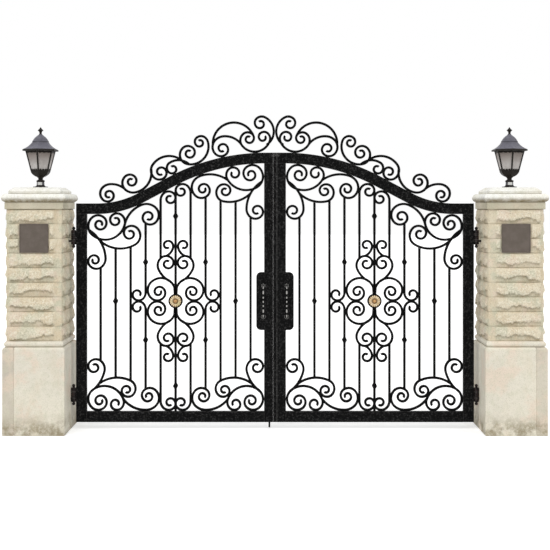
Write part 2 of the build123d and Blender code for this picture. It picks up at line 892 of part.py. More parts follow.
bottom_scrolls = bottom_half + [mirrored(chain, panel_middle) for chain in bottom_half]
centre_top = centre_quarter + [mirrored(chain, panel_middle) for chain in centre_quarter]
centre_scrolls = centre_top + [flipped(chain, centre_z) for chain in centre_top]
all_scrolls = top_scrolls + bottom_scrolls + centre_scrolls


def picket_foot(place):
    return max(crossings(bottom_scrolls, picket_x(place)))


def picket_top(place):
    return min(crossings(top_scrolls, picket_x(place)))


def upright(place, low, high):
    """Adds the face of one picket to the sketch in hand."""
    face_at(picket_x(place) - bar / 2, picket_x(place) + bar / 2, low, high)


shoulder = max(crossings(centre_top, picket_x(1)))
outer_places = [place for place in range(-(pickets // 2), pickets // 2 + 1) if abs(place) > 2]
hinge_mid_crook = mid_crook.arcs(0)
mid_crooks = [hinge_mid_crook, mirrored(hinge_mid_crook, panel_middle)]
mid_crooks += [flipped(chain, centre_z) for chain in mid_crooks]
mid_crook_start = mid_crook.lead()[1]

with BuildPart() as picket_bars:
    with BuildSketch(Plane.XZ):
        for place in outer_places:
            upright(place, picket_foot(place), picket_top(place))
        for place in (-2, 2):
            upright(place, mid_crook_start, picket_top(place))
            upright(place, picket_foot(place), 2 * centre_z - mid_crook_start)
        for side in (0, 1):
            place = 2 * side - 1
            upright(place, shoulder, top_crooks[side].lead()[1])
            upright(place, foot_crooks[side].lead()[1], 2 * centre_z - shoulder)
            scroll_bar(top_crooks[side].arcs(90 - 90 * place))
            scroll_bar(foot_crooks[side].arcs(90 - 90 * place))
        upright(0, panel_bottom, top_crooks[1].z)
        for chain in mid_crooks:
            scroll_bar(chain)
    extrude(amount=bar / 2, both=True)
    with BuildSketch(Plane.XZ):
        for chain in all_scrolls:
            scroll_bar(chain, bar + 2 * weld_gap)
    extrude(amount=bar, both=True, mode=Mode.SUBTRACT)

# Knuckles sit halfway along the clear stretches of their pickets
knuckle_rise = (picket_top(-2) - centre_z) / 2
centre_knuckle_rise = (small.z + small.radius + top_crooks[1].z) / 2 - centre_z
knuckle_slope = degrees(atan2(knuckle_width - bar, knuckle_height))
knuckles = (
    (-4, centre_z),
    (4, centre_z),
    (-2, centre_z + knuckle_rise),
    (2, centre_z + knuckle_rise),
    (-2, centre_z - knuckle_rise),
    (2, centre_z - knuckle_rise),
    (0, centre_z + centre_knuckle_rise),
    (0, centre_z - centre_knuckle_rise),
)
with BuildPart() as leaf_pickets:
    add(picket_bars.part)
    for place, height in knuckles:
        with BuildSketch(Plane((picket_x(place), 0, height))):
            Rectangle(knuckle_width, knuckle_width)
        extrude(amount=knuckle_height / 2, both=True, taper=knuckle_slope)

write_pair(leaf_pickets.part, "leaf_pickets")

# ---- Rosettes ------------------------------------------------------------------------

rosette_face = bar / 2 + rosette_thickness
petal_angle = 360 / petals


def on_rosette(radius, angle):
    """A point this far from the rosette's centre."""
    return (panel_middle + radius * cos(radians(angle)), centre_z + radius * sin(radians(angle)))


with BuildPart() as rosettes:
    with BuildSketch(Plane.XZ.offset(bar / 2)):
        with BuildLine():
            for petal in range(petals):
                ThreePointArc(
                    on_rosette(petal_root, (petal - 0.5) * petal_angle),
                    on_rosette(rosette_diameter / 2, petal * petal_angle),
                    on_rosette(petal_root, (petal + 0.5) * petal_angle),
                )
        make_face()
    extrude(amount=rosette_thickness)
    with BuildSketch(Plane.XZ.offset(rosette_face)):
        with Locations((panel_middle, centre_z)):
            Circle(rosette_boss / 2)
    extrude(amount=rosette_thickness, taper=boss_slope)
    mirror(about=Plane.XZ)

write_pair(rosettes.part, "leaf_rosettes")

# ---- Hinges --------------------------------------------------------------------------
# The pillar carries the lower barrel and the pin; the leaf's barrel turns on that pin.

hinge_levels = (frame_bottom + lower_hinge_height, frame_bottom + upper_hinge_height)
pillar_faces = (pillar_x + plinth_width / 2, pillar_x + shaft_width / 2)
pin_length = barrel_height - pin_diameter
ball_centre = sqrt(ball_diameter**2 - ball_neck**2) / 2    # beyond the end of its barrel
upwards = (Align.CENTER, Align.CENTER, Align.MIN)

with BuildPart() as pintles:
    for level, pillar_face in zip(hinge_levels, pillar_faces):
        top = level - barrel_clearance / 2
        with Locations((hinge_x, 0, top - barrel_height)):
            Cylinder(barrel_diameter / 2, barrel_height, align=upwards)
        with Locations((hinge_x, 0, top - barrel_height - ball_centre)):
            Sphere(ball_diameter / 2)
        with Locations((hinge_x, 0, top)):
            Cylinder(pin_diameter / 2, pin_length, align=upwards)
        with Locations(((hinge_x + pillar_face) / 2, 0, top - barrel_height / 2)):
            Box(hinge_x - pillar_face, strap_thickness, barrel_height - strap_margin)

with BuildPart() as hinge_barrels:
    for level in hinge_levels:
        bottom = level + barrel_clearance / 2
        with Locations((hinge_x, 0, bottom)):
            Cylinder(barrel_diameter / 2, barrel_height, align=upwards)
        with Locations((hinge_x, 0, bottom + barrel_height + ball_centre)):
            Sphere(ball_diameter / 2)
        with Locations(((hinge_x + hinge_edge) / 2, 0, bottom + barrel_height / 2)):
            Box(pivot_offset, strap_thickness, barrel_height - strap_margin)
        with Locations((hinge_x, 0, bottom)):
            bore = (pin_diameter / 2 + pin_clearance, pin_length + pin_clearance)
            Cylinder(*bore, align=upwards, mode=Mode.SUBTRACT)

write_pair(pintles.part, "pillar_hinge_pintles")
write_pair(hinge_barrels.part, "leaf_hinge_barrels")

# ---- Lock plates and pull handles ----------------------------------------------------

plate_z = frame_bottom + plate_centre_height
plate_left = panel_right - plate_reach
plate_right = -handle_spacing + plate_reach
handle_face = half_depth + plate_thickness
grip_y = half_depth + handle_stand_off
mount_levels = [plate_z + end * (handle_height - mount_diameter) / 2 for end in (-1, 1)]

with BuildPart() as lock_plates:
    with BuildSketch(Plane.XZ.offset(half_depth)) as plate:
        face_at(plate_left, plate_right, plate_z - plate_height / 2, plate_z + plate_height / 2)
        fillet(plate.vertices().group_by(Axis.X)[0], plate_corner)
    extrude(amount=plate_thickness)
    mirror(about=Plane.XZ)

bead_step = (handle_height - mount_diameter) / (2 * grip_beads)
grip_sections = [(plate_z - handle_height / 2, stem_diameter)]
for edge in range(2 * grip_beads + 1):
    grip_width = grip_diameter if edge % 2 else grip_waist
    grip_sections.append((plate_z + (edge - grip_beads) * bead_step, grip_width))
grip_sections.append((plate_z + handle_height / 2, stem_diameter))
grip = tapered(grip_sections, grip_sides, -handle_spacing, -grip_y)

with BuildPart() as pull_handles:
    with BuildSketch(Plane.XZ.offset(handle_face)):
        with Locations((-handle_spacing, mount_levels[0])):
            Circle(mount_diameter / 2)
            Circle(mount_diameter / 2 - horseshoe_width, mode=Mode.SUBTRACT)
        with Locations((-handle_spacing, mount_levels[0] + mount_diameter / 2)):
            Rectangle(horseshoe_opening, mount_diameter, mode=Mode.SUBTRACT)
        with Locations((-handle_spacing, mount_levels[1])):
            Circle(mount_diameter / 2 - flower_petal_diameter / 2)
            with PolarLocations((mount_diameter - flower_petal_diameter) / 2, flower_petals):
                Circle(flower_petal_diameter / 2)
    extrude(amount=mount_thickness)
    with BuildSketch(Plane.XZ.offset(handle_face)):
        with Locations((-handle_spacing, mount_levels[0])):
            Circle((mount_diameter - horseshoe_width) / 2)
    extrude(amount=horseshoe_base_thickness)
    for level in mount_levels:
        with BuildSketch(Plane.XZ.offset(handle_face)):
            with Locations((-handle_spacing, level)):
                Circle(stem_diameter / 2)
        extrude(amount=grip_y - handle_face)
    add(grip)
    mirror(about=Plane.XZ)

write_pair(lock_plates.part, "leaf_lock_plates")
write_pair(pull_handles.part, "leaf_pull_handles")

# ---- Drop rod ------------------------------------------------------------------------
# It slides in two guides on the back of the left leaf, and its collar rests on the lower one.

rod_x = -rod_spacing
rod_y = half_depth + guide_reach
guide_levels = (frame_bottom + guide_low, frame_bottom + guide_high)
collar_bottom = guide_levels[0] + guide_height / 2 + weld_gap

with BuildPart() as drop_rod:
    with Locations((rod_x, rod_y, rod_tip_height)):
        Cylinder(rod_diameter / 2, rod_length, align=upwards)
    with Locations((rod_x, rod_y, collar_bottom)):
        Cylinder(collar_diameter / 2, collar_height, align=upwards)
    with Locations((rod_x, rod_y, rod_tip_height + rod_length - rod_diameter / 2)):
        Box(tab_width, rod_diameter, rod_diameter)

with BuildPart() as rod_guides:
    for level in guide_levels:
        with Locations((rod_x, half_depth + guide_depth / 2, level)):
            Box(guide_width, guide_depth, guide_height)
        with Locations((rod_x, rod_y, level)):
            Cylinder(rod_diameter / 2 + rod_clearance, guide_height, mode=Mode.SUBTRACT)

write(drop_rod.part, "left_leaf_drop_rod")
write(rod_guides.part, "left_leaf_rod_guides")
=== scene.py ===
"""Finishes for a pair of wrought iron driveway gates, their stone pillars and lanterns."""

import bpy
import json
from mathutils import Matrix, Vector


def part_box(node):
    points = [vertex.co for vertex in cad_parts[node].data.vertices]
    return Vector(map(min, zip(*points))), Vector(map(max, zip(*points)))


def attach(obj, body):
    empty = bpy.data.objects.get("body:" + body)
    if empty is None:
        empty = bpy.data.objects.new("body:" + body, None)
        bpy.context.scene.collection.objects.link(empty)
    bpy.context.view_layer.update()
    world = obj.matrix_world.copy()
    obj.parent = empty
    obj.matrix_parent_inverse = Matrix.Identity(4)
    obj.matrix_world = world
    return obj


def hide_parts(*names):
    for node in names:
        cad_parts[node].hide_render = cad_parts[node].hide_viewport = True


bl_info = {
    "name": "Driveway gates",
    "version": (1, 0, 0),
    "blender": (4, 5, 0),
    "location": "3D View > Sidebar > Gates",
    "description": "Finishes wrought iron driveway gates, their stone pillars and lanterns",
    "category": "Add Mesh",
}

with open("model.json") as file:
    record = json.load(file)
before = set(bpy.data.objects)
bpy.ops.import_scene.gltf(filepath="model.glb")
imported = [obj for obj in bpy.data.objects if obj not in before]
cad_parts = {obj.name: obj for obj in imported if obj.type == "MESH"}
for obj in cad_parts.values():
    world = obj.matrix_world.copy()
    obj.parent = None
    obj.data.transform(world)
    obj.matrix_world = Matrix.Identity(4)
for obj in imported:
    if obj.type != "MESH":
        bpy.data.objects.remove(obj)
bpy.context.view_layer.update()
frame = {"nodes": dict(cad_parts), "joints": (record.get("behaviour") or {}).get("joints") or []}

import json
from functools import cache
from math import cos, hypot, pi, radians, sin, tau

import bmesh
import bpy
from bpy.props import FloatProperty, FloatVectorProperty, IntProperty, PointerProperty
from mathutils import Matrix, Vector

SIDES = ("left", "right")
MM = 0.001
HALF_BAR = 0.011  # half the thickness of a scroll or picket


# ---- Settings ------------------------------------------------------------------------


def length(name, description, default):
    return FloatProperty(name=name, description=description, default=default, min=0, unit="LENGTH")


def colour(name, description, default):
    return FloatVectorProperty(
        name=name, description=description, default=default, min=0, max=1, size=3, subtype="COLOR"
    )


def share(name, description, default):
    return FloatProperty(
        name=name, description=description, default=default, min=0, max=1, subtype="FACTOR"
    )


class StoneSettings(bpy.types.PropertyGroup):
    """Sizes and colours of the pillars."""

    courses: IntProperty(name="Courses", description="Rock-faced courses in a shaft", default=9)
    margin: length("Margin", "Smooth strip beside the corners of a shaft", 0.018)
    draft: length("Draft", "Smooth strip on the front beside the inner corner", 0.058)
    relief: length("Relief", "How far the rock face stands out", 0.022)
    joint: length("Joint", "Height of the groove between two courses", 0.005)
    easing: length("Easing", "Roundness of the dressed stones' edges", 0.005)
    corner_width: length("Corner stone", "Width of the narrow stone on a plinth's front", 0.104)
    dressed: colour("Dressed stone", "Smooth stone of plinths and beads", (0.69, 0.65, 0.55))
    corner: colour("Corner stone", "Darker narrow stone of the plinths", (0.52, 0.47, 0.39))
    cap: colour("Cap stone", "Weathered pale stone of caps", (0.83, 0.83, 0.79))
    # Darker partly for grime and partly as painted shadow of the cap over the neck.
    neck: colour("Neck stone", "Dirtier stone under a cap", (0.47, 0.43, 0.32))
    cream: colour("Rock face", "Main colour of the rock face", (0.69, 0.61, 0.45))
    # On the rock face this paler colour also serves as painted light on the bulges.
    pale: colour("Pale rock", "Freshest parts of the rock face", (0.84, 0.79, 0.65))
    ochre: colour("Ochre stain", "Warm patches in the stone", (0.60, 0.46, 0.28))
    lichen: colour("Lichen", "Grey green patches in the stone", (0.55, 0.54, 0.40))
    pink: colour("Pink bed", "Warm beds in the stone", (0.74, 0.60, 0.48))
    # Besides grime, this colour gives the painted shade under the ragged edges and on faces turned
    # down.
    hollow: colour("Hollows", "Dirt under the ragged edges", (0.22, 0.175, 0.095))
    bronze: colour("Plaque", "Dull bronze of the plaques", (0.100, 0.080, 0.064))


class IronSettings(bpy.types.PropertyGroup):
    """Sizes and colours of the leaves and what is on them."""

    bar_easing: length("Bar easing", "Roundness of the scroll bars' edges", 0.0022)
    frame_easing: length("Frame easing", "Roundness of the frame's edges", 0.0025)
    dimple: length("Dimple", "Size of the hammered paint's dimples", 0.010)
    paint: colour("Paint", "Black paint", (0.0012, 0.0012, 0.0013))
    fleck: colour("Fleck", "Paler flecks in the paint", (0.034, 0.0335, 0.033))
    worn: colour("Worn edge", "Paint rubbed thin on the edges", (0.05, 0.048, 0.046))
    # Partly a painted highlight: this pale colour on the meeting bar's eased edges stands in for
    # the light along them, besides wear.
    bright: colour("Bright edge", "Bare edge where the leaves meet", (0.17, 0.167, 0.164))
    # Partly a painted highlight: this pale iron on the grip's beads and the mounts, where they face
    # front and back, stands in for their highlights, besides hand wear.
    rubbed: colour("Rubbed iron", "Iron polished by hands", (0.62, 0.60, 0.57))
    gilt: colour("Gilt", "Petals of the rosettes", (0.66, 0.50, 0.28))
    gilt_shade: colour("Gilt shade", "Gilding in the grooves", (0.20, 0.12, 0.05))
    button: colour("Button", "Copper button of the rosettes", (0.50, 0.27, 0.10))
    rib: length("Closing rib", "Rib that fills the gap between the leaves", 0.0022)


class LanternSettings(bpy.types.PropertyGroup):
    """Sizes and colours of the lanterns."""

    leaves: IntProperty(name="Leaves", description="Leaf points along one pane", default=3)
    metal: colour("Metal", "Charcoal paint", (0.045, 0.043, 0.053))
    # Partly a painted sheen: this paler colour on the lantern's upper faces stands in for light on
    # the roof, besides weathering.
    chalk_and_sheen: colour("Chalked paint and painted sheen", "Paint bleached by the weather", (0.20, 0.195, 0.24))
    # This dark paint also gives the painted shade under the roof's brim.
    dark_metal: colour("Dark metal", "Paint in the lantern's hollows", (0.017, 0.0145, 0.012))
    # Painted highlight: this pale colour on the front and back of the stand's drum stands in for
    # its highlight.
    drum_highlight: colour("Zinc", "Bare band of the stand's drum", (0.60, 0.60, 0.58))
    pane: colour("Pane", "Frosted glass", (0.22, 0.185, 0.165))
    glow: colour("Pale pane", "Glass where daylight passes through", (0.64, 0.62, 0.60))


class StageSettings(bpy.types.PropertyGroup):
    """Camera, floor and light."""

    distance: length("Distance", "From the gates to the camera", 9.1)
    eye: length("Eye height", "Height of the camera", 2.062)
    lens: FloatProperty(name="Lens", description="Focal length in millimetres", default=64.7)
    drop: FloatProperty(name="Drop", description="Lens shift that looks lower", default=0.127)
    daylight: share("Daylight", "Light from all around", 0.76)
    lamp: FloatProperty(name="Lamp", description="Strength of the key light", default=0.45)
    side_lamps: FloatProperty(name="Sides", description="Strength of the side lights", default=0.8)
    floor: colour("Floor", "Plain pale floor", (0.82, 0.82, 0.82))


# ---- Node trees ----------------------------------------------------------------------


def reckon(operation, swapped=False):
    """A method of Value that adds a Math node."""

    def method(self, other=None):
        return self.net.math(operation, *((other, self) if swapped else (self, other)))

    return method


class Value:
    """What a socket puts out, reckoned with in nodes as Python reckons with numbers."""

    def __init__(self, net, socket):
        self.net, self.socket = net, socket

    __add__, __radd__ = reckon("ADD"), reckon("ADD", True)
    __sub__, __rsub__ = reckon("SUBTRACT"), reckon("SUBTRACT", True)
    __mul__, __rmul__ = reckon("MULTIPLY"), reckon("MULTIPLY", True)
    __truediv__, __rtruediv__ = reckon("DIVIDE"), reckon("DIVIDE", True)
    __lt__, __gt__ = reckon("LESS_THAN"), reckon("GREATER_THAN")
    __pow__, __abs__ = reckon("POWER"), reckon("ABSOLUTE")

    def ramp(self, low, high, to_low=0.0, to_high=1.0):
        """Smooth step from between two limits to between two others."""
        feeds = (self, low, high, to_low, to_high)
        return self.net.add("ShaderNodeMapRange", *feeds, interpolation_type="SMOOTHSTEP")


class Net:
    """Short ways to add nodes to a tree and to link them."""

    def __init__(self, tree):
        self.tree = tree

    def node(self, kind, *feeds, **settings):
        """A new node, whose sockets are fed in order or by a dictionary of their names."""
        node = self.tree.nodes.new(kind)
        node.location = (190 * (len(self.tree.nodes) % 14), -210 * (len(self.tree.nodes) // 14))
        for name, value in settings.items():
            setattr(node, name, value)
        if feeds and isinstance(feeds[0], dict):
            for name, value in feeds[0].items():
                self.feed(node.inputs[name], value)
        else:
            for socket, value in zip(node.inputs, feeds):
                self.feed(socket, value)
        return node

    def feed(self, socket, value):
        """Links a socket to a value, or writes a plain number, vector or colour in it."""
        if isinstance(value, Value):
            self.tree.links.new(value.socket, socket)
        elif value is not None:
            plain_colour = socket.type == "RGBA" and len(value) == 3
            socket.default_value = (*value, 1) if plain_colour else value

    def add(self, kind, *feeds, **settings):
        """The first output of a new node."""
        return Value(self, self.node(kind, *feeds, **settings).outputs[0])

    def math(self, operation, *feeds):
        return self.add("ShaderNodeMath", *feeds, operation=operation)

    def least(self, first, second):
        return self.math("MINIMUM", first, second)

    def most(self, first, second):
        return self.math("MAXIMUM", first, second)

    def vector(self, operation, *feeds):
        return self.add("ShaderNodeVectorMath", *feeds, operation=operation)

    def joined(self, x, y, z):
        return self.add("ShaderNodeCombineXYZ", x, y, z)

    def parts(self, vector):
        outputs = self.node("ShaderNodeSeparateXYZ", vector).outputs
        return [Value(self, socket) for socket in outputs]

    def noise(self, vector, scale, detail=3.0, roughness=0.55):
        feeds = {"Vector": vector, "Scale": scale, "Detail": detail, "Roughness": roughness}
        return self.add("ShaderNodeTexNoise", feeds)

    def attribute(self, name):
        return Value(self, self.node("ShaderNodeAttribute", attribute_name=name).outputs["Fac"])

    def blend(self, mask, first, second):
        """Mixes two colours."""
        node = self.node("ShaderNodeMix", data_type="RGBA")
        for number, value in ((0, mask), (6, first), (7, second)):
            self.feed(node.inputs[number], value)
        return Value(self, node.outputs[2])

    def seen(self):
        """1 for the rays that look, straight or through glass or a reflection."""
        path = self.node("ShaderNodeLightPath").outputs
        camera, glass, mirror = (
            Value(self, path[f"Is {kind} Ray"]) for kind in ("Camera", "Transmission", "Glossy")
        )
        return self.most(self.most(camera, glass), mirror)

    def group(self, build, feeds):
        """The outputs, by name, of the shader group that this function builds."""
        node = self.node("ShaderNodeGroup", feeds, node_tree=build())
        return {socket.name: Value(self, socket) for socket in node.outputs}

    def stored(self, shape, name, value):
        """A shape whose points keep this value under a name."""
        feeds = {"Geometry": shape, "Name": name, "Value": value}
        settings = {"data_type": "FLOAT", "domain": "POINT"}
        return self.add("GeometryNodeStoreNamedAttribute", feeds, **settings)

    def give(self, results):
        """Ends a group with these outputs."""
        node = self.tree.nodes.new("NodeGroupOutput")
        for name, value in results.items():
            self.feed(node.inputs[name], value)

    def give_shape(self, shape, material):
        """Ends a Geometry Nodes tree, its instances made real and its material set."""
        real = self.add("GeometryNodeRealizeInstances", shape)
        feeds = {"Geometry": real, "Material": material}
        self.give({"Geometry": self.add("GeometryNodeSetMaterial", feeds)})


FLOAT, VECTOR, SHAPE = "NodeSocketFloat", "NodeSocketVector", "NodeSocketGeometry"
COUNT, FINISH, COLOUR = "NodeSocketInt", "NodeSocketMaterial", "NodeSocketColor"


def new_tree(name, kind, inputs, outputs):
    """A net for a new node group with these sockets, and the group's inputs by name."""
    tree = bpy.data.node_groups.new(name, kind)
    for title, socket_type, *default in inputs:
        socket = tree.interface.new_socket(title, in_out="INPUT", socket_type=socket_type)
        if default:
            socket.default_value = default[0]
    for title, socket_type in outputs:
        tree.interface.new_socket(title, in_out="OUTPUT", socket_type=socket_type)
    net = Net(tree)
    sockets = net.node("NodeGroupInput").outputs
    return net, {socket.name: Value(net, socket) for socket in sockets if socket.name}


# ---- Shader groups -------------------------------------------------------------------


@cache
def stone_weathering():
    """Patches, stains, specks and pits that every stone has."""
    net, given = new_tree(
        "Stone weathering",
        "ShaderNodeTree",
        (("Vector", VECTOR), ("Patch Size", FLOAT), ("Grain Size", FLOAT), ("Seed", FLOAT)),
        (("Patches", FLOAT), ("Stains", FLOAT), ("Specks", FLOAT), ("Height", FLOAT)),
    )
    seed = given["Seed"]
    place = net.vector("ADD", given["Vector"], net.joined(seed, seed, seed))
    stretched = net.vector("MULTIPLY", place, (1, 1, 0.35))
    patch_scale, grain_scale = 1 / given["Patch Size"], 1 / given["Grain Size"]
    pits = net.add("ShaderNodeTexVoronoi", {"Vector": place, "Scale": grain_scale * 0.3})
    grain = net.noise(place, grain_scale, 3, 0.6)
    net.give(
        {
            "Patches": net.noise(place, patch_scale, 5, 0.6).ramp(0.38, 0.62),
            "Stains": net.noise(stretched, patch_scale * 2.3, 6, 0.65).ramp(0.5, 0.72),
            "Specks": net.noise(place, grain_scale * 0.55, 2, 0.5).ramp(0.56, 0.70),
            "Height": grain * 0.6 + pits.ramp(0.05, 0.3) * 0.4,
        }
    )
    return net.tree


@cache
def facing():
    """How much a surface faces one way, or that way and its opposite."""
    net, given = new_tree(
        "Facing",
        "ShaderNodeTree",
        (("Direction", VECTOR), ("Low", FLOAT), ("High", FLOAT)),
        (("One Way", FLOAT), ("Both Ways", FLOAT)),
    )
    normal = Value(net, net.node("ShaderNodeNewGeometry").outputs["Normal"])
    feeds = (normal, given["Direction"])
    node = net.node("ShaderNodeVectorMath", *feeds, operation="DOT_PRODUCT")
    turned_to = Value(net, node.outputs["Value"])
    limits = given["Low"], given["High"]
    net.give({"One Way": turned_to.ramp(*limits), "Both Ways": abs(turned_to).ramp(*limits)})
    return net.tree


@cache
def dressed_limestone():
    """Combed limestone, patched, grimy at its foot, and darker where it faces down, which is
    painted shade.
    """
    net, given = new_tree(
        "Dressed limestone",
        "ShaderNodeTree",
        (
            ("Vector", VECTOR),
            ("Base", COLOUR),
            ("Pale", COLOUR),
            ("Pink", COLOUR),
            ("Lichen", COLOUR),
            ("Ochre", COLOUR),
            ("Dirt", COLOUR),
            ("Flush", FLOAT),
            ("Soil", FLOAT),
        ),
        (("Color", COLOUR), ("Roughness", FLOAT), ("Height", FLOAT)),
    )
    place, dirt_and_shade = given["Vector"], given["Dirt"]
    feeds = {"Vector": place, "Patch Size": 0.42, "Grain Size": 0.004, "Seed": 5.0}
    weather = net.group(stone_weathering, feeds)
    blush = net.noise(net.vector("ADD", place, (2, 9, 4)), 4.5, 5, 0.6)
    foot = net.parts(place)[2].ramp(0.04, 0.22, 0.85, 0.0)
    down = net.group(facing, {"Direction": (0, 0, -1), "Low": -0.3, "High": 0.75})["One Way"]
    body = given["Base"]
    for mask, tint in (
        (weather["Patches"] * 0.30, given["Pale"]),
        (blush.ramp(0.5, 0.66, 0, given["Flush"]), given["Pink"]),
        (net.noise(place, 95, 3, 0.7).ramp(0.54, 0.68, 0, 0.22), dirt_and_shade),
        (net.noise(place, 14, 7, 0.75).ramp(0.44, 0.66, 0, 0.42), given["Lichen"]),
        (weather["Stains"] * 0.20, given["Ochre"]),
        (weather["Specks"] * 0.30, dirt_and_shade),
        (foot * net.noise(place, 9, 6, 0.75).ramp(0.36, 0.64), dirt_and_shade),
        # Painted shade on faces turned down.
        (down * given["Soil"] * net.noise(place, 22, 5, 0.7).ramp(0.3, 0.6, 0.5, 1), dirt_and_shade),
    ):
        body = net.blend(mask, body, tint)
    combed = net.noise(net.vector("MULTIPLY", place, (0.16, 0.16, 1)), 160, 2, 0.5)
    roughness = weather["Height"].ramp(0.2, 0.8, 0.92, 0.74)
    height = weather["Height"] + combed * 0.6
    net.give({"Color": body, "Roughness": roughness, "Height": height})
    return net.tree


@cache
def hammered_paint():
    """Dimples and paler flecks of hammered paint."""
    net, given = new_tree(
        "Hammered paint",
        "ShaderNodeTree",
        (("Vector", VECTOR), ("Dimple Size", FLOAT), ("Cover", FLOAT)),
        (("Flecks", FLOAT), ("Height", FLOAT), ("Sheen Loss", FLOAT)),
    )
    vector = given["Vector"]
    scale = 1 / given["Dimple Size"]
    feeds = {"Vector": vector, "Scale": scale}
    dimples = net.add("ShaderNodeTexVoronoi", feeds, feature="SMOOTH_F1")
    low = 0.78 - given["Cover"] * 0.4
    net.give(
        {
            "Flecks": net.noise(vector, scale * 0.55, 5, 0.7).ramp(low, low + 0.16),
            "Height": dimples + net.noise(vector, scale * 3, 3, 0.6) * 0.25,
            "Sheen Loss": net.noise(vector, scale * 0.12, 4),
        }
    )
    return net.tree


@cache
def rubbed_paint():
    """Paint rubbed thin in places."""
    net, given = new_tree(
        "Rubbed paint",
        "ShaderNodeTree",
        (("Vector", VECTOR), ("Thick", COLOUR), ("Thin", COLOUR)),
        (("Color", COLOUR), ("Roughness", FLOAT)),
    )
    rubbed = net.noise(given["Vector"], 45, 5, 0.7).ramp(0.42, 0.66)
    body = net.blend(rubbed, given["Thick"], given["Thin"])
    net.give({"Color": body, "Roughness": rubbed.ramp(0, 1, 0.5, 0.36)})
    return net.tree


@cache
def chalked_paint_and_sheen():
    """Paint made paler on its upper faces: partly weathering, partly a painted sheen."""
    net, given = new_tree(
        "Chalked paint and painted sheen",
        "ShaderNodeTree",
        (("Vector", VECTOR), ("Paint", COLOUR), ("Chalk", COLOUR)),
        (("Color", COLOUR),),
    )
    up = net.group(facing, {"Direction": (0, 0, 1), "Low": 0.05, "High": 0.9})["One Way"]
    chalk_and_sheen = up * net.noise(given["Vector"], 35, 5, 0.7)
    net.give({"Color": net.blend(chalk_and_sheen, given["Paint"], given["Chalk"])})
    return net.tree


@cache
def fine_grain():
    """The small unevenness of a cast, rubbed or frosted surface."""
    net, given = new_tree(
        "Fine grain",
        "ShaderNodeTree",
        (("Vector", VECTOR), ("Scale", FLOAT), ("Detail", FLOAT), ("Roughness", FLOAT)),
        (("Height", FLOAT),),
    )
    net.give({"Height": net.noise(*given.values())})
    return net.tree


# ---- Materials -----------------------------------------------------------------------


class Coat(Net):
    """A new material's node tree, with its Principled shader."""

    def __init__(self, name):
        self.material = bpy.data.materials.new(name)
        self.material.use_nodes = True
        super().__init__(self.material.node_tree)
        self.shader = self.tree.nodes["Principled BSDF"].inputs
        self.place = Value(self, self.node("ShaderNodeTexCoord").outputs["Object"])

    def set(self, feeds):
        for name, value in feeds.items():
            self.feed(self.shader[name], value)

    def bump(self, height, distance):
        self.set({"Normal": self.add("ShaderNodeBump", {"Height": height, "Distance": distance})})

    def grain(self, scale, distance, detail=3.0, roughness=0.55):
        feeds = {"Vector": self.place, "Scale": scale, "Detail": detail, "Roughness": roughness}
        self.bump(self.group(fine_grain, feeds)["Height"], distance)


def rock_stone(stone):
    """Rock-faced limestone: cream, ochre and pale, with painted shade and grime under the ragged
    edges, and paler crystals where it stands out, which are painted light.
    """
    coat = Coat("rock_faced_limestone")
    place = coat.place
    feeds = {"Vector": place, "Patch Size": 0.16, "Grain Size": 0.005, "Seed": 0.0}
    weather = coat.group(stone_weathering, feeds)
    beds = coat.noise(coat.vector("ADD", place, (7, 3, 1)), 6.5, 4, 0.6)
    crystals = coat.noise(place, 75, 5, 0.75).ramp(0.44, 0.60)
    # Paler crystals where the face stands out most: painted light on the bulges.
    painted_light_on_bulges = coat.attribute("relief").ramp(0.05, 0.9, 0.30, 0.85)
    patchy_shade_and_dirt = weather["Patches"].ramp(0, 1, 0.45, 0.8)
    body = stone.cream
    for mask, tint in (
        (weather["Patches"] * 0.42, stone.ochre),
        (coat.noise(place, 5.5, 4, 0.6).ramp(0.48, 0.62, 0, 0.8), stone.lichen),
        (beds.ramp(0.52, 0.64, 0, 0.6), stone.pink),
        (crystals * painted_light_on_bulges, stone.pale),
        (weather["Stains"] * 0.30, stone.ochre),
        (weather["Specks"] * 0.40, stone.hollow),
        # Painted shade, with grime, under each ragged edge, and darker joints.
        (coat.attribute("hollow") * patchy_shade_and_dirt, stone.hollow),
    ):
        body = coat.blend(mask, body, tint)
    coat.set({"Base Color": body, "Roughness": weather["Height"].ramp(0.2, 0.8, 0.98, 0.82)})
    coat.bump(coat.noise(place, 70, 7, 0.75) + weather["Height"] * 0.3, 0.009)
    return coat


def dressed_stone(stone, name, base, flush, underside_shade=0.0, edges=()):
    """Smooth limestone, blushed this much, with this much painted shade where it faces down, and
    dark lines at some levels.
    """
    coat = Coat(name)
    place = coat.place
    tints = {
        "Base": base,
        "Pale": stone.pale,
        "Pink": stone.pink,
        "Lichen": stone.lichen,
        "Ochre": stone.ochre,
        "Dirt": stone.hollow,
    }
    feeds = {"Vector": place, "Flush": flush, "Soil": underside_shade, **tints}
    surface = coat.group(dressed_limestone, feeds)
    body = surface["Color"]
    for level in edges:
        away = abs(coat.parts(place)[2] - level)
        line = away.ramp(0, coat.noise(place, 40, 4, 0.7) * 0.012, 0.8, 0)
        body = coat.blend(line, body, stone.hollow)
    coat.set({"Base Color": body, "Roughness": surface["Roughness"]})
    coat.bump(surface["Height"], 0.0014)
    return coat


def plaque_bronze(stone):
    """Dull bronze with a brown bloom."""
    coat = Coat("dull_bronze")
    bloom = coat.noise(coat.place, 14, 5, 0.65)
    body = coat.blend(bloom.ramp(0.35, 0.7), stone.bronze, (0.135, 0.11, 0.092))
    coat.set({"Base Color": body, "Metallic": 0.35, "Roughness": bloom.ramp(0.3, 0.7, 0.5, 0.68)})
    coat.grain(260, 0.0006, 4, 0.6)
    return coat


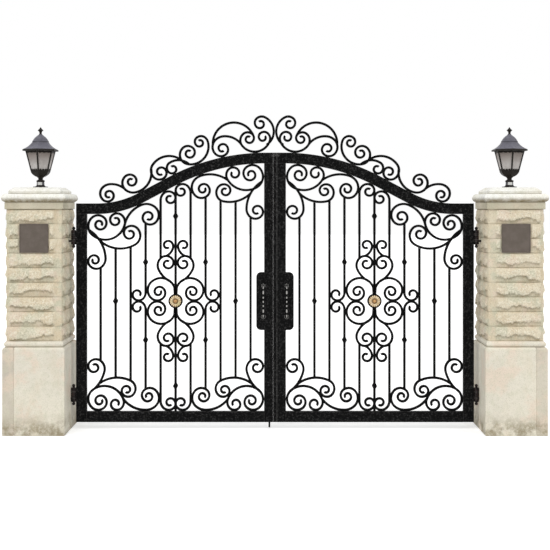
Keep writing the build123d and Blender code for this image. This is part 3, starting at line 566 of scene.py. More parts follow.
def iron_paint(name, iron, dimple, cover, roughness, depth, scuff=None):
    """Black paint on iron, hammered by this much, and scuffed round this point."""
    coat = Coat(name)
    place = coat.place
    feeds = {"Vector": place, "Dimple Size": dimple, "Cover": cover}
    skin = coat.group(hammered_paint, feeds)
    body = coat.blend(skin["Flecks"], iron.paint, iron.fleck)
    if scuff:
        away = coat.vector("ABSOLUTE", coat.vector("SUBTRACT", place, scuff))
        across, _, up = coat.parts(away)
        patch = across.ramp(0.02, 0.05, 1, 0) * up.ramp(0.01, 0.024, 1, 0)
        scratches = coat.noise(place, 150, 4, 0.8).ramp(0.5, 0.6)
        body = coat.blend(patch * scratches, body, iron.bright)
    dulled = skin["Sheen Loss"].ramp(0.3, 0.7, roughness - 0.08, roughness + 0.14)
    coat.set({"Base Color": body, "Roughness": dulled, "Specular IOR Level": 0.06})
    coat.bump(skin["Height"], depth)
    return coat


def rubbed_iron_and_highlight(name, iron, bare):
    """Black paint with this share of pale rubbed iron on the crowns that face front and back:
    partly hand wear, partly a painted highlight.
    """
    coat = Coat(name)
    feeds = {"Direction": (0, 1, 0), "Low": 0.80, "High": 0.98}
    crown = coat.group(facing, feeds)["Both Ways"] * bare
    body = coat.blend(crown, iron.paint, iron.rubbed)
    coat.set({"Base Color": body, "Metallic": 0.2, "Roughness": 0.3})
    coat.grain(300, 0.0002)
    return coat


def worn_paint(name, thick, thin):
    """Paint rubbed thin along an edge, with the iron showing through in places."""
    coat = Coat(name)
    surface = coat.group(rubbed_paint, {"Vector": coat.place, "Thick": thick, "Thin": thin})
    coat.set({"Base Color": surface["Color"], "Roughness": surface["Roughness"]})
    coat.set({"Specular IOR Level": 0.2})
    coat.grain(300, 0.0002)
    return coat


def copper(iron):
    """Copper that is brown in its grooves."""
    coat = Coat("copper_button")
    crown = coat.attribute("crown").ramp(0.05, 0.6)
    body = coat.blend(crown, iron.gilt_shade, iron.button)
    coat.set({"Base Color": body, "Metallic": 0.2, "Roughness": 0.45})
    return coat


def gilding(iron):
    """Gilt that is bright on the petals' crowns and brown in the grooves."""
    coat = Coat("gilt")
    patches = coat.noise(coat.place, 60, 4, 0.6)
    drift = coat.noise(coat.place, 16, 2, 0.5)
    bright = coat.blend(patches.ramp(0.4, 0.65), iron.gilt, (0.86, 0.74, 0.52))
    bright = coat.blend(drift.ramp(0.5, 0.7, 0, 0.6), bright, (0.60, 0.55, 0.26))
    bright = coat.blend(drift.ramp(0.3, 0.45, 0.5, 0), bright, (0.80, 0.62, 0.48))
    body = coat.blend(coat.attribute("crown").ramp(0.1, 0.75), iron.gilt_shade, bright)
    coat.set({"Base Color": body, "Metallic": 0.3, "Roughness": patches.ramp(0.3, 0.7, 0.4, 0.6)})
    coat.grain(420, 0.0004, 4, 0.6)
    return coat


def lantern_metal(name, paint, chalk_and_sheen, roughness, shine):
    """Cast metal under paint that is a little paler on its upper faces: weathering and a painted
    sheen.
    """
    coat = Coat(name)
    place = coat.place
    skin = coat.group(hammered_paint, {"Vector": place, "Dimple Size": 0.006, "Cover": 0.8})
    body = coat.group(chalked_paint_and_sheen, {"Vector": place, "Paint": paint, "Chalk": chalk_and_sheen})["Color"]
    dulled = skin["Sheen Loss"].ramp(0.3, 0.7, roughness, roughness + 0.15)
    coat.set({"Base Color": body, "Roughness": dulled, "Specular IOR Level": shine})
    coat.bump(skin["Height"], 0.0006)
    return coat


def bare_zinc(lantern):
    """Drum band painted pale on its front and back as a painted highlight, and left charcoal and
    dull at its sides.
    """
    coat = Coat("bare_zinc")
    feeds = {"Direction": (0, 1, 0), "Low": 0.72, "High": 0.92}
    bright = coat.group(facing, feeds)["Both Ways"]
    body = coat.blend(bright, lantern.metal, lantern.drum_highlight)
    coat.set({"Base Color": body, "Metallic": 0.3, "Roughness": 0.35})
    return coat


def frosted_glass(lantern):
    """Frosted panes: greyish beige, paler where daylight comes through low down."""
    coat = Coat("frosted_pane")
    base, top = (corner.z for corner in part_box("left_lantern_glass"))
    cloud = coat.noise(coat.place, 16, 4, 0.6)
    light = coat.parts(coat.place)[2].ramp(base, top, 0.95, 0.0)
    body = coat.blend(light * cloud.ramp(0.25, 0.75, 0.55, 1.0), lantern.pane, lantern.glow)
    coat.set({"Base Color": body, "Roughness": cloud.ramp(0.3, 0.7, 0.34, 0.5)})
    coat.set({"Specular IOR Level": 0.12, "Transmission Weight": 0.12})
    coat.grain(520, 0.0003, 3, 0.6)
    return coat


@cache
def finish(name):
    """The gates' material of this name, made when it is first asked for."""
    scene = bpy.context.scene
    stone, iron, lantern = scene.gate_stone, scene.gate_iron, scene.gate_lantern
    edges = [corner.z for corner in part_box("left_pillar_neck_course")]
    hasp = (0.004, 0, 2.524)
    makers = {
        "rock": (rock_stone, stone),
        "dressed": (dressed_stone, stone, "dressed_limestone", stone.dressed, 0.6),
        "corner": (dressed_stone, stone, "corner_limestone", stone.corner, 0.6),
        "cap": (dressed_stone, stone, "pale_cap_limestone", stone.cap, 0.06, 1.0),
        # The neck is darker for grime and as painted shadow of the cap.
        "neck": (dressed_stone, stone, "dirty_neck_limestone", stone.neck, 0.3, 0.3, edges),
        "bronze": (plaque_bronze, stone),
        "scroll": (iron_paint, "black_scroll_paint", iron, iron.dimple, 0.42, 0.46, 0.0007),
        "frame": (iron_paint, "black_frame_paint", iron, 0.008, 0.70, 0.44, 0.0009, hasp),
        "hardware": (iron_paint, "black_hardware_paint", iron, 0.007, 0.60, 0.38, 0.0005),
        "handle": (iron_paint, "black_handle_paint", iron, 0.012, 0.5, 0.30, 0.0003),
        "hinge": (worn_paint, "brown_black_hinge_paint", iron.paint, (0.035, 0.02, 0.018)),
        "worn": (worn_paint, "worn_black_edge", iron.paint, iron.worn),
        "bright": (worn_paint, "bare_meeting_edge", iron.worn, iron.bright),
        "grip": (rubbed_iron_and_highlight, "hand_rubbed_grip", iron, 0.6),
        "mount": (rubbed_iron_and_highlight, "rubbed_mount", iron, 0.20),
        "button": (copper, iron),
        "gilt": (gilding, iron),
        "lantern": (
            lantern_metal, "charcoal_cast_metal", lantern.metal, lantern.chalk_and_sheen, 0.42, 0.3
        ),
        "lantern_dark": (
            lantern_metal, "dark_cast_metal", lantern.dark_metal, (0.03, 0.028, 0.03), 0.4, 0.1
        ),
        "pane": (frosted_glass, lantern),
        "drum_highlight": (bare_zinc, lantern),
    }
    maker, *feeds = makers[name]
    return maker(*feeds).material


# ---- Making pieces -------------------------------------------------------------------


def add_piece(name, mesh, body, finishes, nodes=(), sharp=35):
    """Shows a mesh as a piece that rides on a body and stands for these CAD nodes."""
    mesh.name = name
    chosen = [face.material_index for face in mesh.polygons]
    mesh.materials.clear()
    for title in finishes:
        mesh.materials.append(finish(title))
    mesh.polygons.foreach_set("material_index", chosen)
    mesh.shade_smooth()
    mesh.set_sharp_from_angle(angle=radians(sharp))
    piece = bpy.data.objects.new(name, mesh)
    bpy.context.scene.collection.objects.link(piece)
    if nodes:
        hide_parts(*nodes)
    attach(piece, body)
    return piece


def ease(piece, width, limit=50, segments=2, edge_finish=-1):
    """Rounds a piece's edges; the rounding may have a finish of its own."""
    bevel = piece.modifiers.new("Easing", "BEVEL")
    bevel.width = width
    bevel.segments = segments
    bevel.limit_method = "ANGLE"
    bevel.angle_limit = radians(limit)
    bevel.use_clamp_overlap = False
    bevel.harden_normals = True
    bevel.material = edge_finish


def add_eased(node, name, body, slot, finishes, width, **easing):
    """Shows a CAD node's own shape as a piece, with its edges rounded."""
    mesh = to_mesh(merged_copy(node, dissolve=True))
    ease(add_piece(name, mesh, body, finishes, (node,)), width, **easing)


def merged_copy(node, dissolve=False):
    """A CAD node's shape with its doubles merged and, if asked, each flat face whole."""
    shape = bmesh.new()
    shape.from_mesh(frame["nodes"][node].data)
    bmesh.ops.remove_doubles(shape, verts=shape.verts, dist=0.01 * MM)
    if dissolve:
        whole = {"verts": shape.verts, "edges": shape.edges, "delimit": set()}
        bmesh.ops.dissolve_limit(shape, angle_limit=radians(1), **whole)
    return shape


def to_mesh(shape):
    mesh = bpy.data.meshes.new("shape")
    shape.to_mesh(mesh)
    shape.free()
    return mesh


def closed_mesh(shape, finish_of=None):
    """Mesh of a shape whose doubles are merged and whose faces all point outwards."""
    bmesh.ops.remove_doubles(shape, verts=shape.verts, dist=0.005 * MM)
    bmesh.ops.recalc_face_normals(shape, faces=shape.faces)
    if finish_of:
        for face in shape.faces:
            face.material_index = int(finish_of(face.calc_center_median()))
    return to_mesh(shape)


def add_copies(shape, mesh, places):
    """Adds a mesh to a shape once for each of these matrices."""
    for place in places:
        copy = mesh.copy()
        copy.transform(place)
        shape.from_mesh(copy)
        bpy.data.meshes.remove(copy)


def grown(tree, values):
    """The plain mesh that a Geometry Nodes tree makes from these inputs."""
    holder = bpy.data.objects.new(tree.name, bpy.data.meshes.new(tree.name))
    bpy.context.scene.collection.objects.link(holder)
    modifier = holder.modifiers.new(tree.name, "NODES")
    modifier.node_group = tree
    for item in tree.interface.items_tree:
        if item.in_out == "INPUT" and item.name in values:
            modifier[item.identifier] = values[item.name]
    evaluated = holder.evaluated_get(bpy.context.evaluated_depsgraph_get())
    mesh = bpy.data.meshes.new_from_object(evaluated)
    bpy.data.objects.remove(holder)
    mesh.polygons.foreach_set("material_index", [0] * len(mesh.polygons))
    return mesh


def skin(shape, rings):
    """Joins rings of points, one after another, and closes both ends."""
    made = [[shape.verts.new(point) for point in ring] for ring in rings]
    for low, high in zip(made, made[1:]):
        count = max(len(low), len(high))
        for step in range(count):
            after = (step + 1) % count
            corners = [low[step % len(low)], low[after % len(low)]]
            corners += [high[after % len(high)], high[step % len(high)]]
            shape.faces.new(list(dict.fromkeys(corners)))
    for ends in (made[0], made[-1]):
        if len(ends) > 2:
            shape.faces.new(ends)


def hexagon_reach(angle):
    """Distance to a side of a hexagon of corner radius 1 with corners at front and back."""
    turn = (angle - pi / 2) % (pi / 3) - pi / 6
    return cos(pi / 6) / cos(turn)


def ring(centre, height, radius, roundness=1.0, steps=72):
    """Points round an upright axis, from a hexagon at roundness 0 to a circle at 1."""
    if radius == 0:
        return [(centre.x, centre.y, height)]
    points = []
    for step in range(steps):
        angle = tau * step / steps
        reach = radius * (roundness + (1 - roundness) * hexagon_reach(angle))
        points.append((centre.x + reach * cos(angle), centre.y + reach * sin(angle), height))
    return points


def turned(shape, centre, profile, steps=48):
    """A turned solid from (radius, height) points."""
    skin(shape, [ring(centre, height, radius, steps=steps) for radius, height in profile])


def block(shape, low, high):
    """A box between two corners."""
    middle = (Vector(low) + Vector(high)) / 2
    size = Vector(high) - Vector(low)
    place = Matrix.Translation(middle) @ Matrix.Diagonal((*size, 1))
    bmesh.ops.create_cube(shape, size=1, matrix=place)


def centre_of(node):
    low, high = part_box(node)
    return (low + high) / 2


# ---- Pillars -------------------------------------------------------------------------


def rock_face_tree():
    """A square shaft of rock-faced courses, each with a ragged edge over a shallow hollow."""
    net, given = new_tree(
        "Rock-faced shaft",
        "GeometryNodeTree",
        (
            ("Width", FLOAT),
            ("Height", FLOAT),
            ("Courses", COUNT),
            ("Joint", FLOAT),
            ("Margin", FLOAT),
            ("Draft", FLOAT),
            ("Inner Side", FLOAT),
            ("Relief", FLOAT),
            ("Seat Size", FLOAT),
            ("Seat Level", FLOAT),
            ("Seed", FLOAT),
            ("Steps Across", COUNT, 84),
            ("Steps Up", COUNT, 207),
            ("Material", FINISH),
        ),
        (("Geometry", SHAPE),),
    )
    width, height, courses, seed = (
        given[title] for title in ("Width", "Height", "Courses", "Seed")
    )
    feeds = {"Width": width, "Height": width}
    outline = net.add("GeometryNodeCurvePrimitiveQuadrilateral", feeds)
    feeds = {"Curve": outline, "Count": given["Steps Across"] * 4}
    outline = net.add("GeometryNodeResampleCurve", feeds)
    feeds = {"Start": (0, 0, 0), "End": net.joined(0, 0, height)}
    upright = net.add("GeometryNodeCurvePrimitiveLine", feeds)
    feeds = {"Curve": upright, "Count": given["Steps Up"] + 1}
    upright = net.add("GeometryNodeResampleCurve", feeds)
    feeds = {"Curve": upright, "Profile Curve": outline, "Fill Caps": True}
    shell = net.add("GeometryNodeCurveToMesh", feeds)

    place = net.add("GeometryNodeInputPosition")
    x, y, z = net.parts(place)
    half = width / 2
    from_corner = half - net.least(abs(x), abs(y))
    level = z / height * courses
    course = net.math("FLOOR", net.least(level, courses - 0.001))
    rise = level - course
    course_seed = course * 3.7 + seed
    free = net.vector("ADD", place, net.joined(seed, seed, seed))
    edge = net.noise(net.joined(x, y, course_seed), 6.5, 6.0, 0.68).ramp(0.32, 0.68, 0.04, 0.46)
    bulge = net.noise(net.joined(0, course_seed, seed), 0.9, 0.0)
    swell = net.noise(net.vector("MULTIPLY", free, (1, 1, 1.3)), 9.0, 4.0, 0.6)
    rough = net.noise(free, 34.0, 5.0, 0.65)

    # Stone that stands out over each course's ragged edge and falls back towards its top
    fall = (rise - edge) / (1.0 - edge)
    slope = (1.0 - net.most(fall, 0.0)) ** 0.75
    lift = rise.ramp(edge, edge + 0.075) * net.most(slope, 0.0)
    lift = lift * swell.ramp(0.3, 0.7, 0.45, 1.15) * bulge.ramp(0.3, 0.7, 0.7, 1.05)
    pillow = net.most(net.math("SINE", rise * pi), 0.0) ** 0.6
    lift = lift * 0.75 + (rough - 0.5) * 0.95 + pillow * 0.45

    # Smooth strips at the corners, a wider one inside in front, and the plaque's seat
    hair = 0.0005
    inward = x * given["Inner Side"]
    drafted = (y < hair - half) * (inward > 0.0)
    rear = (inward > half - hair) * (y > 0.0)
    wider = given["Draft"] - given["Margin"]
    margin = given["Margin"] - rear * 0.06 + drafted * wider
    inside = (from_corner - (swell - 0.5) * 0.03).ramp(margin, margin + 0.02)
    from_seat = net.most(abs(x), abs(z - given["Seat Level"]))
    seat_edge = given["Seat Size"] / 2
    beyond_seat = from_seat.ramp(seat_edge, seat_edge + 0.018)
    inside = inside * net.most(beyond_seat, y.ramp(-0.01, 0.01))

    joint_share = given["Joint"] * courses / height
    near_joint = net.least(rise, 1.0 - rise)
    groove = near_joint.ramp(joint_share * 0.3, joint_share, 1.0, 0.0)
    relief = lift * inside
    # The hollow mask: painted shade, with some grime, in the strip under each ragged edge, and
    # darker joints.
    under = edge + 0.055 - rise
    line = under.ramp(0.0, 0.04) * under.ramp(0.04, 0.24, 0.85, 0.25)
    # The relief mask later makes raised stone paler, which is painted light on the bulges.
    stored = net.stored(shell, "relief", relief)
    stored = net.stored(stored, "hollow", net.most(line * inside, groove * 0.55))

    out = relief * given["Relief"] - groove * 0.004
    end_clear = net.least(z, height - z).ramp(0.0, 0.004)
    normal = net.add("GeometryNodeInputNormal")
    flat = net.vector("NORMALIZE", net.vector("MULTIPLY", normal, (1, 1, 0)))
    feeds = {"Vector": flat, "Scale": out * end_clear}
    shift = net.add("ShaderNodeVectorMath", feeds, operation="SCALE")
    moved = net.add("GeometryNodeSetPosition", {"Geometry": stored, "Offset": shift})
    net.give_shape(moved, given["Material"])
    return net.tree


class GATES_OT_shafts(bpy.types.Operator):
    """Cut the rock-faced shafts of both pillars"""

    bl_idname = "gates.shafts"
    bl_label = "Rock-faced shafts"

    def execute(self, context):
        stone = context.scene.gate_stone
        tree = rock_face_tree()
        for side, inner, seed in (("left", 1.0, 11.0), ("right", -1.0, 34.0)):
            node = f"{side}_pillar_shaft"
            low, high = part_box(node)
            plaque_low, plaque_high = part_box(f"{side}_pillar_plaque")
            values = {
                "Width": high.y - low.y,
                "Height": high.z - low.z,
                "Courses": stone.courses,
                "Joint": stone.joint,
                "Margin": stone.margin,
                "Draft": stone.draft,
                "Inner Side": inner,
                "Relief": stone.relief,
                "Seat Size": plaque_high.z - plaque_low.z + 0.006,
                "Seat Level": (plaque_high.z + plaque_low.z) / 2 - low.z,
                "Seed": seed,
                "Material": finish("rock"),
            }
            mesh = grown(tree, values)
            middle = centre_of(node)
            mesh.transform(Matrix.Translation((middle.x, middle.y, low.z)))
            name = f"{side}_rock_faced_shaft"
            add_piece(name, mesh, "pillars", ("rock",), (node,), 75)
        return {"FINISHED"}


def plinth_mesh(side, corner_width):
    """A plinth of a narrow corner stone and a wide stone, with a fine joint between them."""
    low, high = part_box(f"{side}_pillar_plinth")
    outer = -1 if side == "left" else 1
    seam = (low.x if outer < 0 else high.x) - outer * corner_width
    splay, gap = 0.016, 0.0015
    shape = bmesh.new()
    for start, end in ((low.x, seam - gap), (seam + gap, high.x)):
        block(shape, (start, low.y, low.z), (end, high.y, high.z))
    for vertex in shape.verts:
        if vertex.co.z > high.z - gap:
            vertex.co.z = high.z - splay
    for face in [face for face in shape.faces if face.normal.z > 0.9]:
        extruded = bmesh.ops.extrude_face_region(shape, geom=[face])["geom"]
        for vertex in (item for item in extruded if isinstance(item, bmesh.types.BMVert)):
            vertex.co.z = high.z
            for axis in (0, 1):
                for limit, sign in ((low[axis], 1), (high[axis], -1)):
                    if abs(vertex.co[axis] - limit) < gap / 2:
                        vertex.co[axis] += sign * splay * 0.8
        bmesh.ops.delete(shape, geom=[face], context="FACES_ONLY")
    mortar_low = (seam - 2 * gap, low.y + 0.004, low.z + 0.002)
    block(shape, mortar_low, (seam + 2 * gap, high.y - 0.004, high.z - splay))
    return closed_mesh(shape, lambda middle: (middle.x - seam) * outer > 0)


class GATES_OT_dressed_stones(bpy.types.Operator):
    """Dress the plinths, beads, necks, caps and slabs of both pillars"""

    bl_idname = "gates.dressed_stones"
    bl_label = "Dressed stones"

    def execute(self, context):
        stone = context.scene.gate_stone
        courses = {"bead_course": "dressed", "neck_course": "neck", "cap": "cap", "cap_slab": "cap"}
        for side in SIDES:
            mesh = plinth_mesh(side, stone.corner_width)
            name, node = f"{side}_plinth_stones", f"{side}_pillar_plinth"
            titles = ("dressed", "corner")
            piece = add_piece(name, mesh, "pillars", titles, (node,))
            ease(piece, stone.easing, 30, 3)
            for course, title in courses.items():
                node, name = f"{side}_pillar_{course}", f"{side}_{course}_stone"
                slot, easing = "dressed_stone", {"limit": 40, "segments": 3}
                add_eased(node, name, "pillars", slot, (title,), stone.easing, **easing)
        return {"FINISHED"}


class GATES_OT_plaques(bpy.types.Operator):
    """Cast the bare plaques with a raised border"""

    bl_idname = "gates.plaques"
    bl_label = "Plaques"

    def execute(self, context):
        border, sink, stand = 0.012, 0.0025, 0.001
        for side in SIDES:
            node = f"{side}_pillar_plaque"
            shape = bmesh.new()
            block(shape, *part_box(node))
            front = min(shape.faces, key=lambda face: face.calc_center_median().y)
            bmesh.ops.inset_region(shape, faces=[front], thickness=border)
            bmesh.ops.inset_region(shape, faces=[front], thickness=stand, depth=-sink)
            name, mesh = f"{side}_bronze_plaque", closed_mesh(shape)
            piece = add_piece(name, mesh, "pillars", ("bronze",), (node,))
            ease(piece, 0.0015, 30)
        return {"FINISHED"}


# ---- Lanterns ------------------------------------------------------------------------


def box_radius(node):
    """Half of a round node's depth."""
    low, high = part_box(node)
    return (high.y - low.y) / 2


def roof_mesh(node):
    """A two-tier bell: a hexagon at the brim that grows round towards the top."""
    low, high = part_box(node)
    centre, brim = centre_of(node), box_radius(node)
    tall, ceiling = 154, 16
    up = (high.z - low.z) / tall
    # (height of `tall`, share of the brim's reach, roundness), from the ceiling round the lip
    outline = (
        (13, 0.0, 0.0), (13, 0.80, 0.0), (9, 0.90, 0.0), (1, 0.965, 0.0), (0, 0.985, 0.0),
        (3, 0.998, 0.0), (9, 1.0, 0.0), (13, 0.985, 0.0), (17, 0.945, 0.02), (24, 0.855, 0.06),
        (34, 0.755, 0.12), (46, 0.655, 0.22), (60, 0.565, 0.38), (73, 0.495, 0.55),
        (83, 0.455, 0.72), (87, 0.445, 0.85), (90, 0.447, 0.92), (93, 0.435, 0.96),
        (95, 0.415, 1.0), (102, 0.392, 1.0), (113, 0.352, 1.0), (124, 0.298, 1.0),
        (134, 0.235, 1.0), (143, 0.168, 1.0), (149, 0.118, 1.0), (tall, 0.098, 1.0),
    )
    shape = bmesh.new()
    skin(
        shape,
        [ring(centre, low.z + rise * up, reach * brim, turn, 96) for rise, reach, turn in outline],
    )
    # Faces below the ceiling, the brim's lip and underside, take the dark paint: painted shade
    # under the brim.
    return closed_mesh(shape, lambda middle: middle.z < low.z + ceiling * up)


def finial_mesh(node):
    """Neck, spread diamond and point."""
    low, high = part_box(node)
    widest, tall = box_radius(node), high.z - low.z
    outline = (
        (0.0, 0.0), (0.62, 0.0), (0.50, 0.05), (0.42, 0.13), (0.40, 0.24), (0.52, 0.30),
        (0.55, 0.34), (0.50, 0.38), (0.66, 0.44), (0.92, 0.49), (1.0, 0.53), (0.94, 0.58),
        (0.70, 0.66), (0.46, 0.76), (0.27, 0.86), (0.12, 0.95), (0.0, 1.0),
    )
    shape = bmesh.new()
    profile = [(widest * reach, low.z + tall * rise) for reach, rise in outline]
    turned(shape, centre_of(node), profile, 36)
    return closed_mesh(shape)


def stand_mesh(node):
    """Flange foot, ringed drum and throat."""
    low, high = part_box(node)
    foot, tall = (high.x - low.x) / 2, high.z - low.z
    profile = (
        (0, 0), (foot, 0), (foot, 0.006), (foot * 0.96, 0.009), (foot * 0.72, 0.011),
        (foot * 0.62, 0.014), (0.0385, 0.016), (0.0385, 0.021), (0.0350, 0.024),
        (0.0345, 0.050), (0.0350, 0.054), (0.0385, 0.057), (0.0385, 0.062), (0.0355, 0.066),
        (0.0280, 0.070), (0.0215, 0.075), (0.0200, 0.081), (0.0225, 0.086), (0.0240, 0.089),
        (0.0240, tall), (0, tall),
    )
    shape = bmesh.new()
    turned(shape, centre_of(node), [(radius, low.z + rise) for radius, rise in profile])
    # The band between the drum's rings takes the painted highlight finish.
    band = (low.z + 0.026, low.z + 0.052)
    return closed_mesh(shape, lambda middle: band[0] < middle.z < band[1])


def bowl_mesh(node):
    """The bowl under the glass: a hexagon above that draws in to the throat."""
    low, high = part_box(node)
    centre, wide, tall = centre_of(node), box_radius(node), high.z - low.z
    # (share of the reach, share of the height, roundness)
    outline = (
        (0.0, 0.0, 1.0), (0.30, 0.0, 1.0), (0.34, 0.05, 0.9), (0.36, 0.11, 0.6),
        (0.47, 0.16, 0.4), (0.60, 0.27, 0.2), (0.74, 0.42, 0.08), (0.86, 0.60, 0.0),
        (0.945, 0.78, 0.0), (0.96, 0.86, 0.0), (1.0, 0.90, 0.0), (1.0, 0.99, 0.0),
        (0.97, 1.0, 0.0), (0.0, 1.0, 0.0),
    )
    shape = bmesh.new()
    skin(
        shape,
        [ring(centre, low.z + tall * rise, wide * reach, turn) for reach, rise, turn in outline],
    )
    return closed_mesh(shape)


def leaf_row_tree():
    """A row of pointed leaves along a straight rail, with their tips up."""
    net, given = new_tree(
        "Leaf cresting",
        "GeometryNodeTree",
        (
            ("Length", FLOAT),
            ("Leaves", COUNT),
            ("Tall", FLOAT),
            ("Thickness", FLOAT),
            ("Material", FINISH),
        ),
        (("Geometry", SHAPE),),
    )
    leaf_width = given["Length"] / given["Leaves"]
    feeds = {"Size X": 1.0, "Size Y": 1.0, "Vertices X": 9, "Vertices Y": 7}
    leaf = net.add("GeometryNodeMeshGrid", feeds)
    x, y, _ = net.parts(net.add("GeometryNodeInputPosition"))
    rise = y + 0.5
    notch = 1.0 + net.math("COSINE", rise * 14.0) * 0.12
    spread = net.most(net.math("SINE", rise * 2.35 + 0.72), 0.03) * notch
    bulge = (0.5 - abs(x)) * spread * given["Thickness"]
    point = net.joined(x * spread * leaf_width, bulge * -2.0, rise * given["Tall"])
    front = net.add("GeometryNodeSetPosition", {"Geometry": leaf, "Position": point})
    back = net.joined(0, given["Thickness"] * -1.0, 0)
    feeds = {"Mesh": front, "Individual": False, "Offset": back, "Offset Scale": 1.0}
    both = net.node("GeometryNodeJoinGeometry")
    net.feed(both.inputs[0], net.add("GeometryNodeExtrudeMesh", feeds, mode="FACES"))
    net.feed(both.inputs[0], net.add("GeometryNodeFlipFaces", front))
    feeds = {"Geometry": Value(net, both.outputs[0]), "Distance": 0.00001}
    whole = net.add("GeometryNodeMergeByDistance", feeds)
    first = (leaf_width - given["Length"]) / 2
    feeds = {
        "Count": given["Leaves"],
        "Start Location": net.joined(first, 0, 0),
        "Offset": net.joined(leaf_width, 0, 0),
    }
    row = net.add("GeometryNodeMeshLine", feeds)
    placed = net.add("GeometryNodeInstanceOnPoints", {"Points": row, "Instance": whole})
    net.give_shape(placed, given["Material"])
    return net.tree


def cage_mesh(node):
    """Six ribs between two rings, which hold the panes."""
    low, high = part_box(node)
    centre = centre_of(node)
    top_reach = box_radius(node)
    bottom_reach = box_radius(node.replace("cage", "bowl"))
    rib, deep, inward = 0.0078, 0.005, 0.016
    steps = 12
    shape = bmesh.new()
    for number in range(6):
        angle = pi / 2 + number * pi / 3
        outward = Vector((cos(angle), sin(angle), 0))
        sideways = Vector((-sin(angle), cos(angle), 0))
        rings = []
        for height, reach in ((low.z, bottom_reach), (high.z, top_reach)):
            middle = Vector((centre.x, centre.y, height)) + outward * (reach - deep)
            section = []
            for turn in (tau * step / steps for step in range(steps)):
                round_out = outward * cos(turn) * (deep if cos(turn) > 0 else inward)
                section.append(middle + round_out + sideways * rib * sin(turn))
            rings.append(section)
        skin(shape, rings)
    steps, rail = 48, 0.009
    for height, reach, band in (
        (low.z, bottom_reach - 0.001, 0.010),
        (high.z - 0.012, top_reach - 0.006, 0.012),
    ):
        loops = [ring(centre, height + band * rise, reach, 0, steps) for rise in (0, 1)]
        loops += [ring(centre, height + band * rise, reach - rail, 0, steps) for rise in (1, 0)]
        made = [[shape.verts.new(point) for point in loop] for loop in loops]
        for first, second in zip(made, made[1:] + made[:1]):
            for step in range(steps):
                after = (step + 1) % steps
                shape.faces.new((first[step], first[after], second[after], second[step]))
    return closed_mesh(shape)


def cresting_mesh(side, tree, leaves):
    """Rows of leaves at the foot and, hanging, at the head of each pane."""
    cage = f"{side}_lantern_cage"
    low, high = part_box(cage)
    centre = centre_of(cage)
    foot, widening = box_radius(f"{side}_lantern_bowl"), box_radius(cage)
    widening -= foot
    lean = widening / (high.z - low.z) * cos(pi / 6)
    slant = Matrix.Identity(4)
    slant[1][2] = -lean
    shape = bmesh.new()
    for tall, height, hang in ((0.017, low.z + 0.009, 1), (0.009, high.z - 0.011, -1)):
        reach = foot + widening * (height - low.z) / (high.z - low.z)
        values = {
            "Length": reach - 0.016,
            "Leaves": leaves,
            "Tall": tall,
            "Thickness": 0.0025,
            "Material": finish("lantern_dark"),
        }
        out = reach * cos(pi / 6) + 0.0005
        on_pane = Matrix.Translation((0, -out, height)) @ slant @ Matrix.Diagonal((1, 1, hang, 1))
        on_axis = Matrix.Translation((centre.x, centre.y, 0))
        turns = [Matrix.Rotation(pi / 6 + number * pi / 3, 4, "Z") for number in range(6)]
        add_copies(shape, grown(tree, values), [on_axis @ turn @ on_pane for turn in turns])
    return closed_mesh(shape)


class GATES_OT_lanterns(bpy.types.Operator):
    """Make both lanterns: stand, bowl, panes, cage, cresting, roof and finial"""

    bl_idname = "gates.lanterns"
    bl_label = "Lanterns"

    def execute(self, context):
        tree = leaf_row_tree()
        leaves = context.scene.gate_lantern.leaves
        dark = ("lantern_dark",)
        for side in SIDES:
            for part, name, make, titles, sharp in (
                ("roof", "bell_roof", roof_mesh, ("lantern", "lantern_dark"), 50),
                ("finial", "roof_finial", finial_mesh, dark, 50),
                ("stand", "turned_stand", stand_mesh, ("lantern_dark", "drum_highlight"), 35),
                ("bowl", "hexagonal_bowl", bowl_mesh, dark, 28),
                ("cage", "cage_ribs", cage_mesh, dark, 40),
            ):
                node, name = f"{side}_lantern_{part}", f"{side}_{name}"
                add_piece(name, make(node), "pillars", titles, (node,), sharp)
            mesh = cresting_mesh(side, tree, leaves)
            name = f"{side}_leaf_cresting"
            add_piece(name, mesh, "pillars", dark, (), 50)
            node, name = f"{side}_lantern_glass", f"{side}_frosted_panes"
            add_eased(node, name, "pillars", "frosted_glass", ("pane",), 0.0008, limit=30)
        return {"FINISHED"}


# ---- Leaves --------------------------------------------------------------------------


class GATES_OT_frames(bpy.types.Operator):
    """Paint the frame tubes of both leaves and ease their edges"""

    bl_idname = "gates.frames"
    bl_label = "Leaf frames"

    def execute(self, context):
        iron = context.scene.gate_iron
        members = ("hinge_stile", "bottom_rail", "meeting_stile", "top_rail")
        rows = [(side, member, "worn", iron.frame_easing) for side in SIDES for member in members]
        # The meeting bar's eased edges take the bright finish: wear and a painted highlight.
        rows.append(("right", "meeting_bar", "bright", 0.0035))
        for side, member, edge, width in rows:
            node, name, body = f"{side}_leaf_{member}", f"{side}_{member}_tube", f"{side}_leaf"
            add_eased(node, name, body, "frame_paint", ("frame", edge), width, edge_finish=1)
        low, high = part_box("right_leaf_meeting_bar")
        shape = bmesh.new()
        block(shape, (low.x - iron.rib, -0.010, low.z), (low.x + 0.001, 0.010, high.z))
        add_piece("right_closing_rib", to_mesh(shape), "right_leaf", ("frame",))
        return {"FINISHED"}


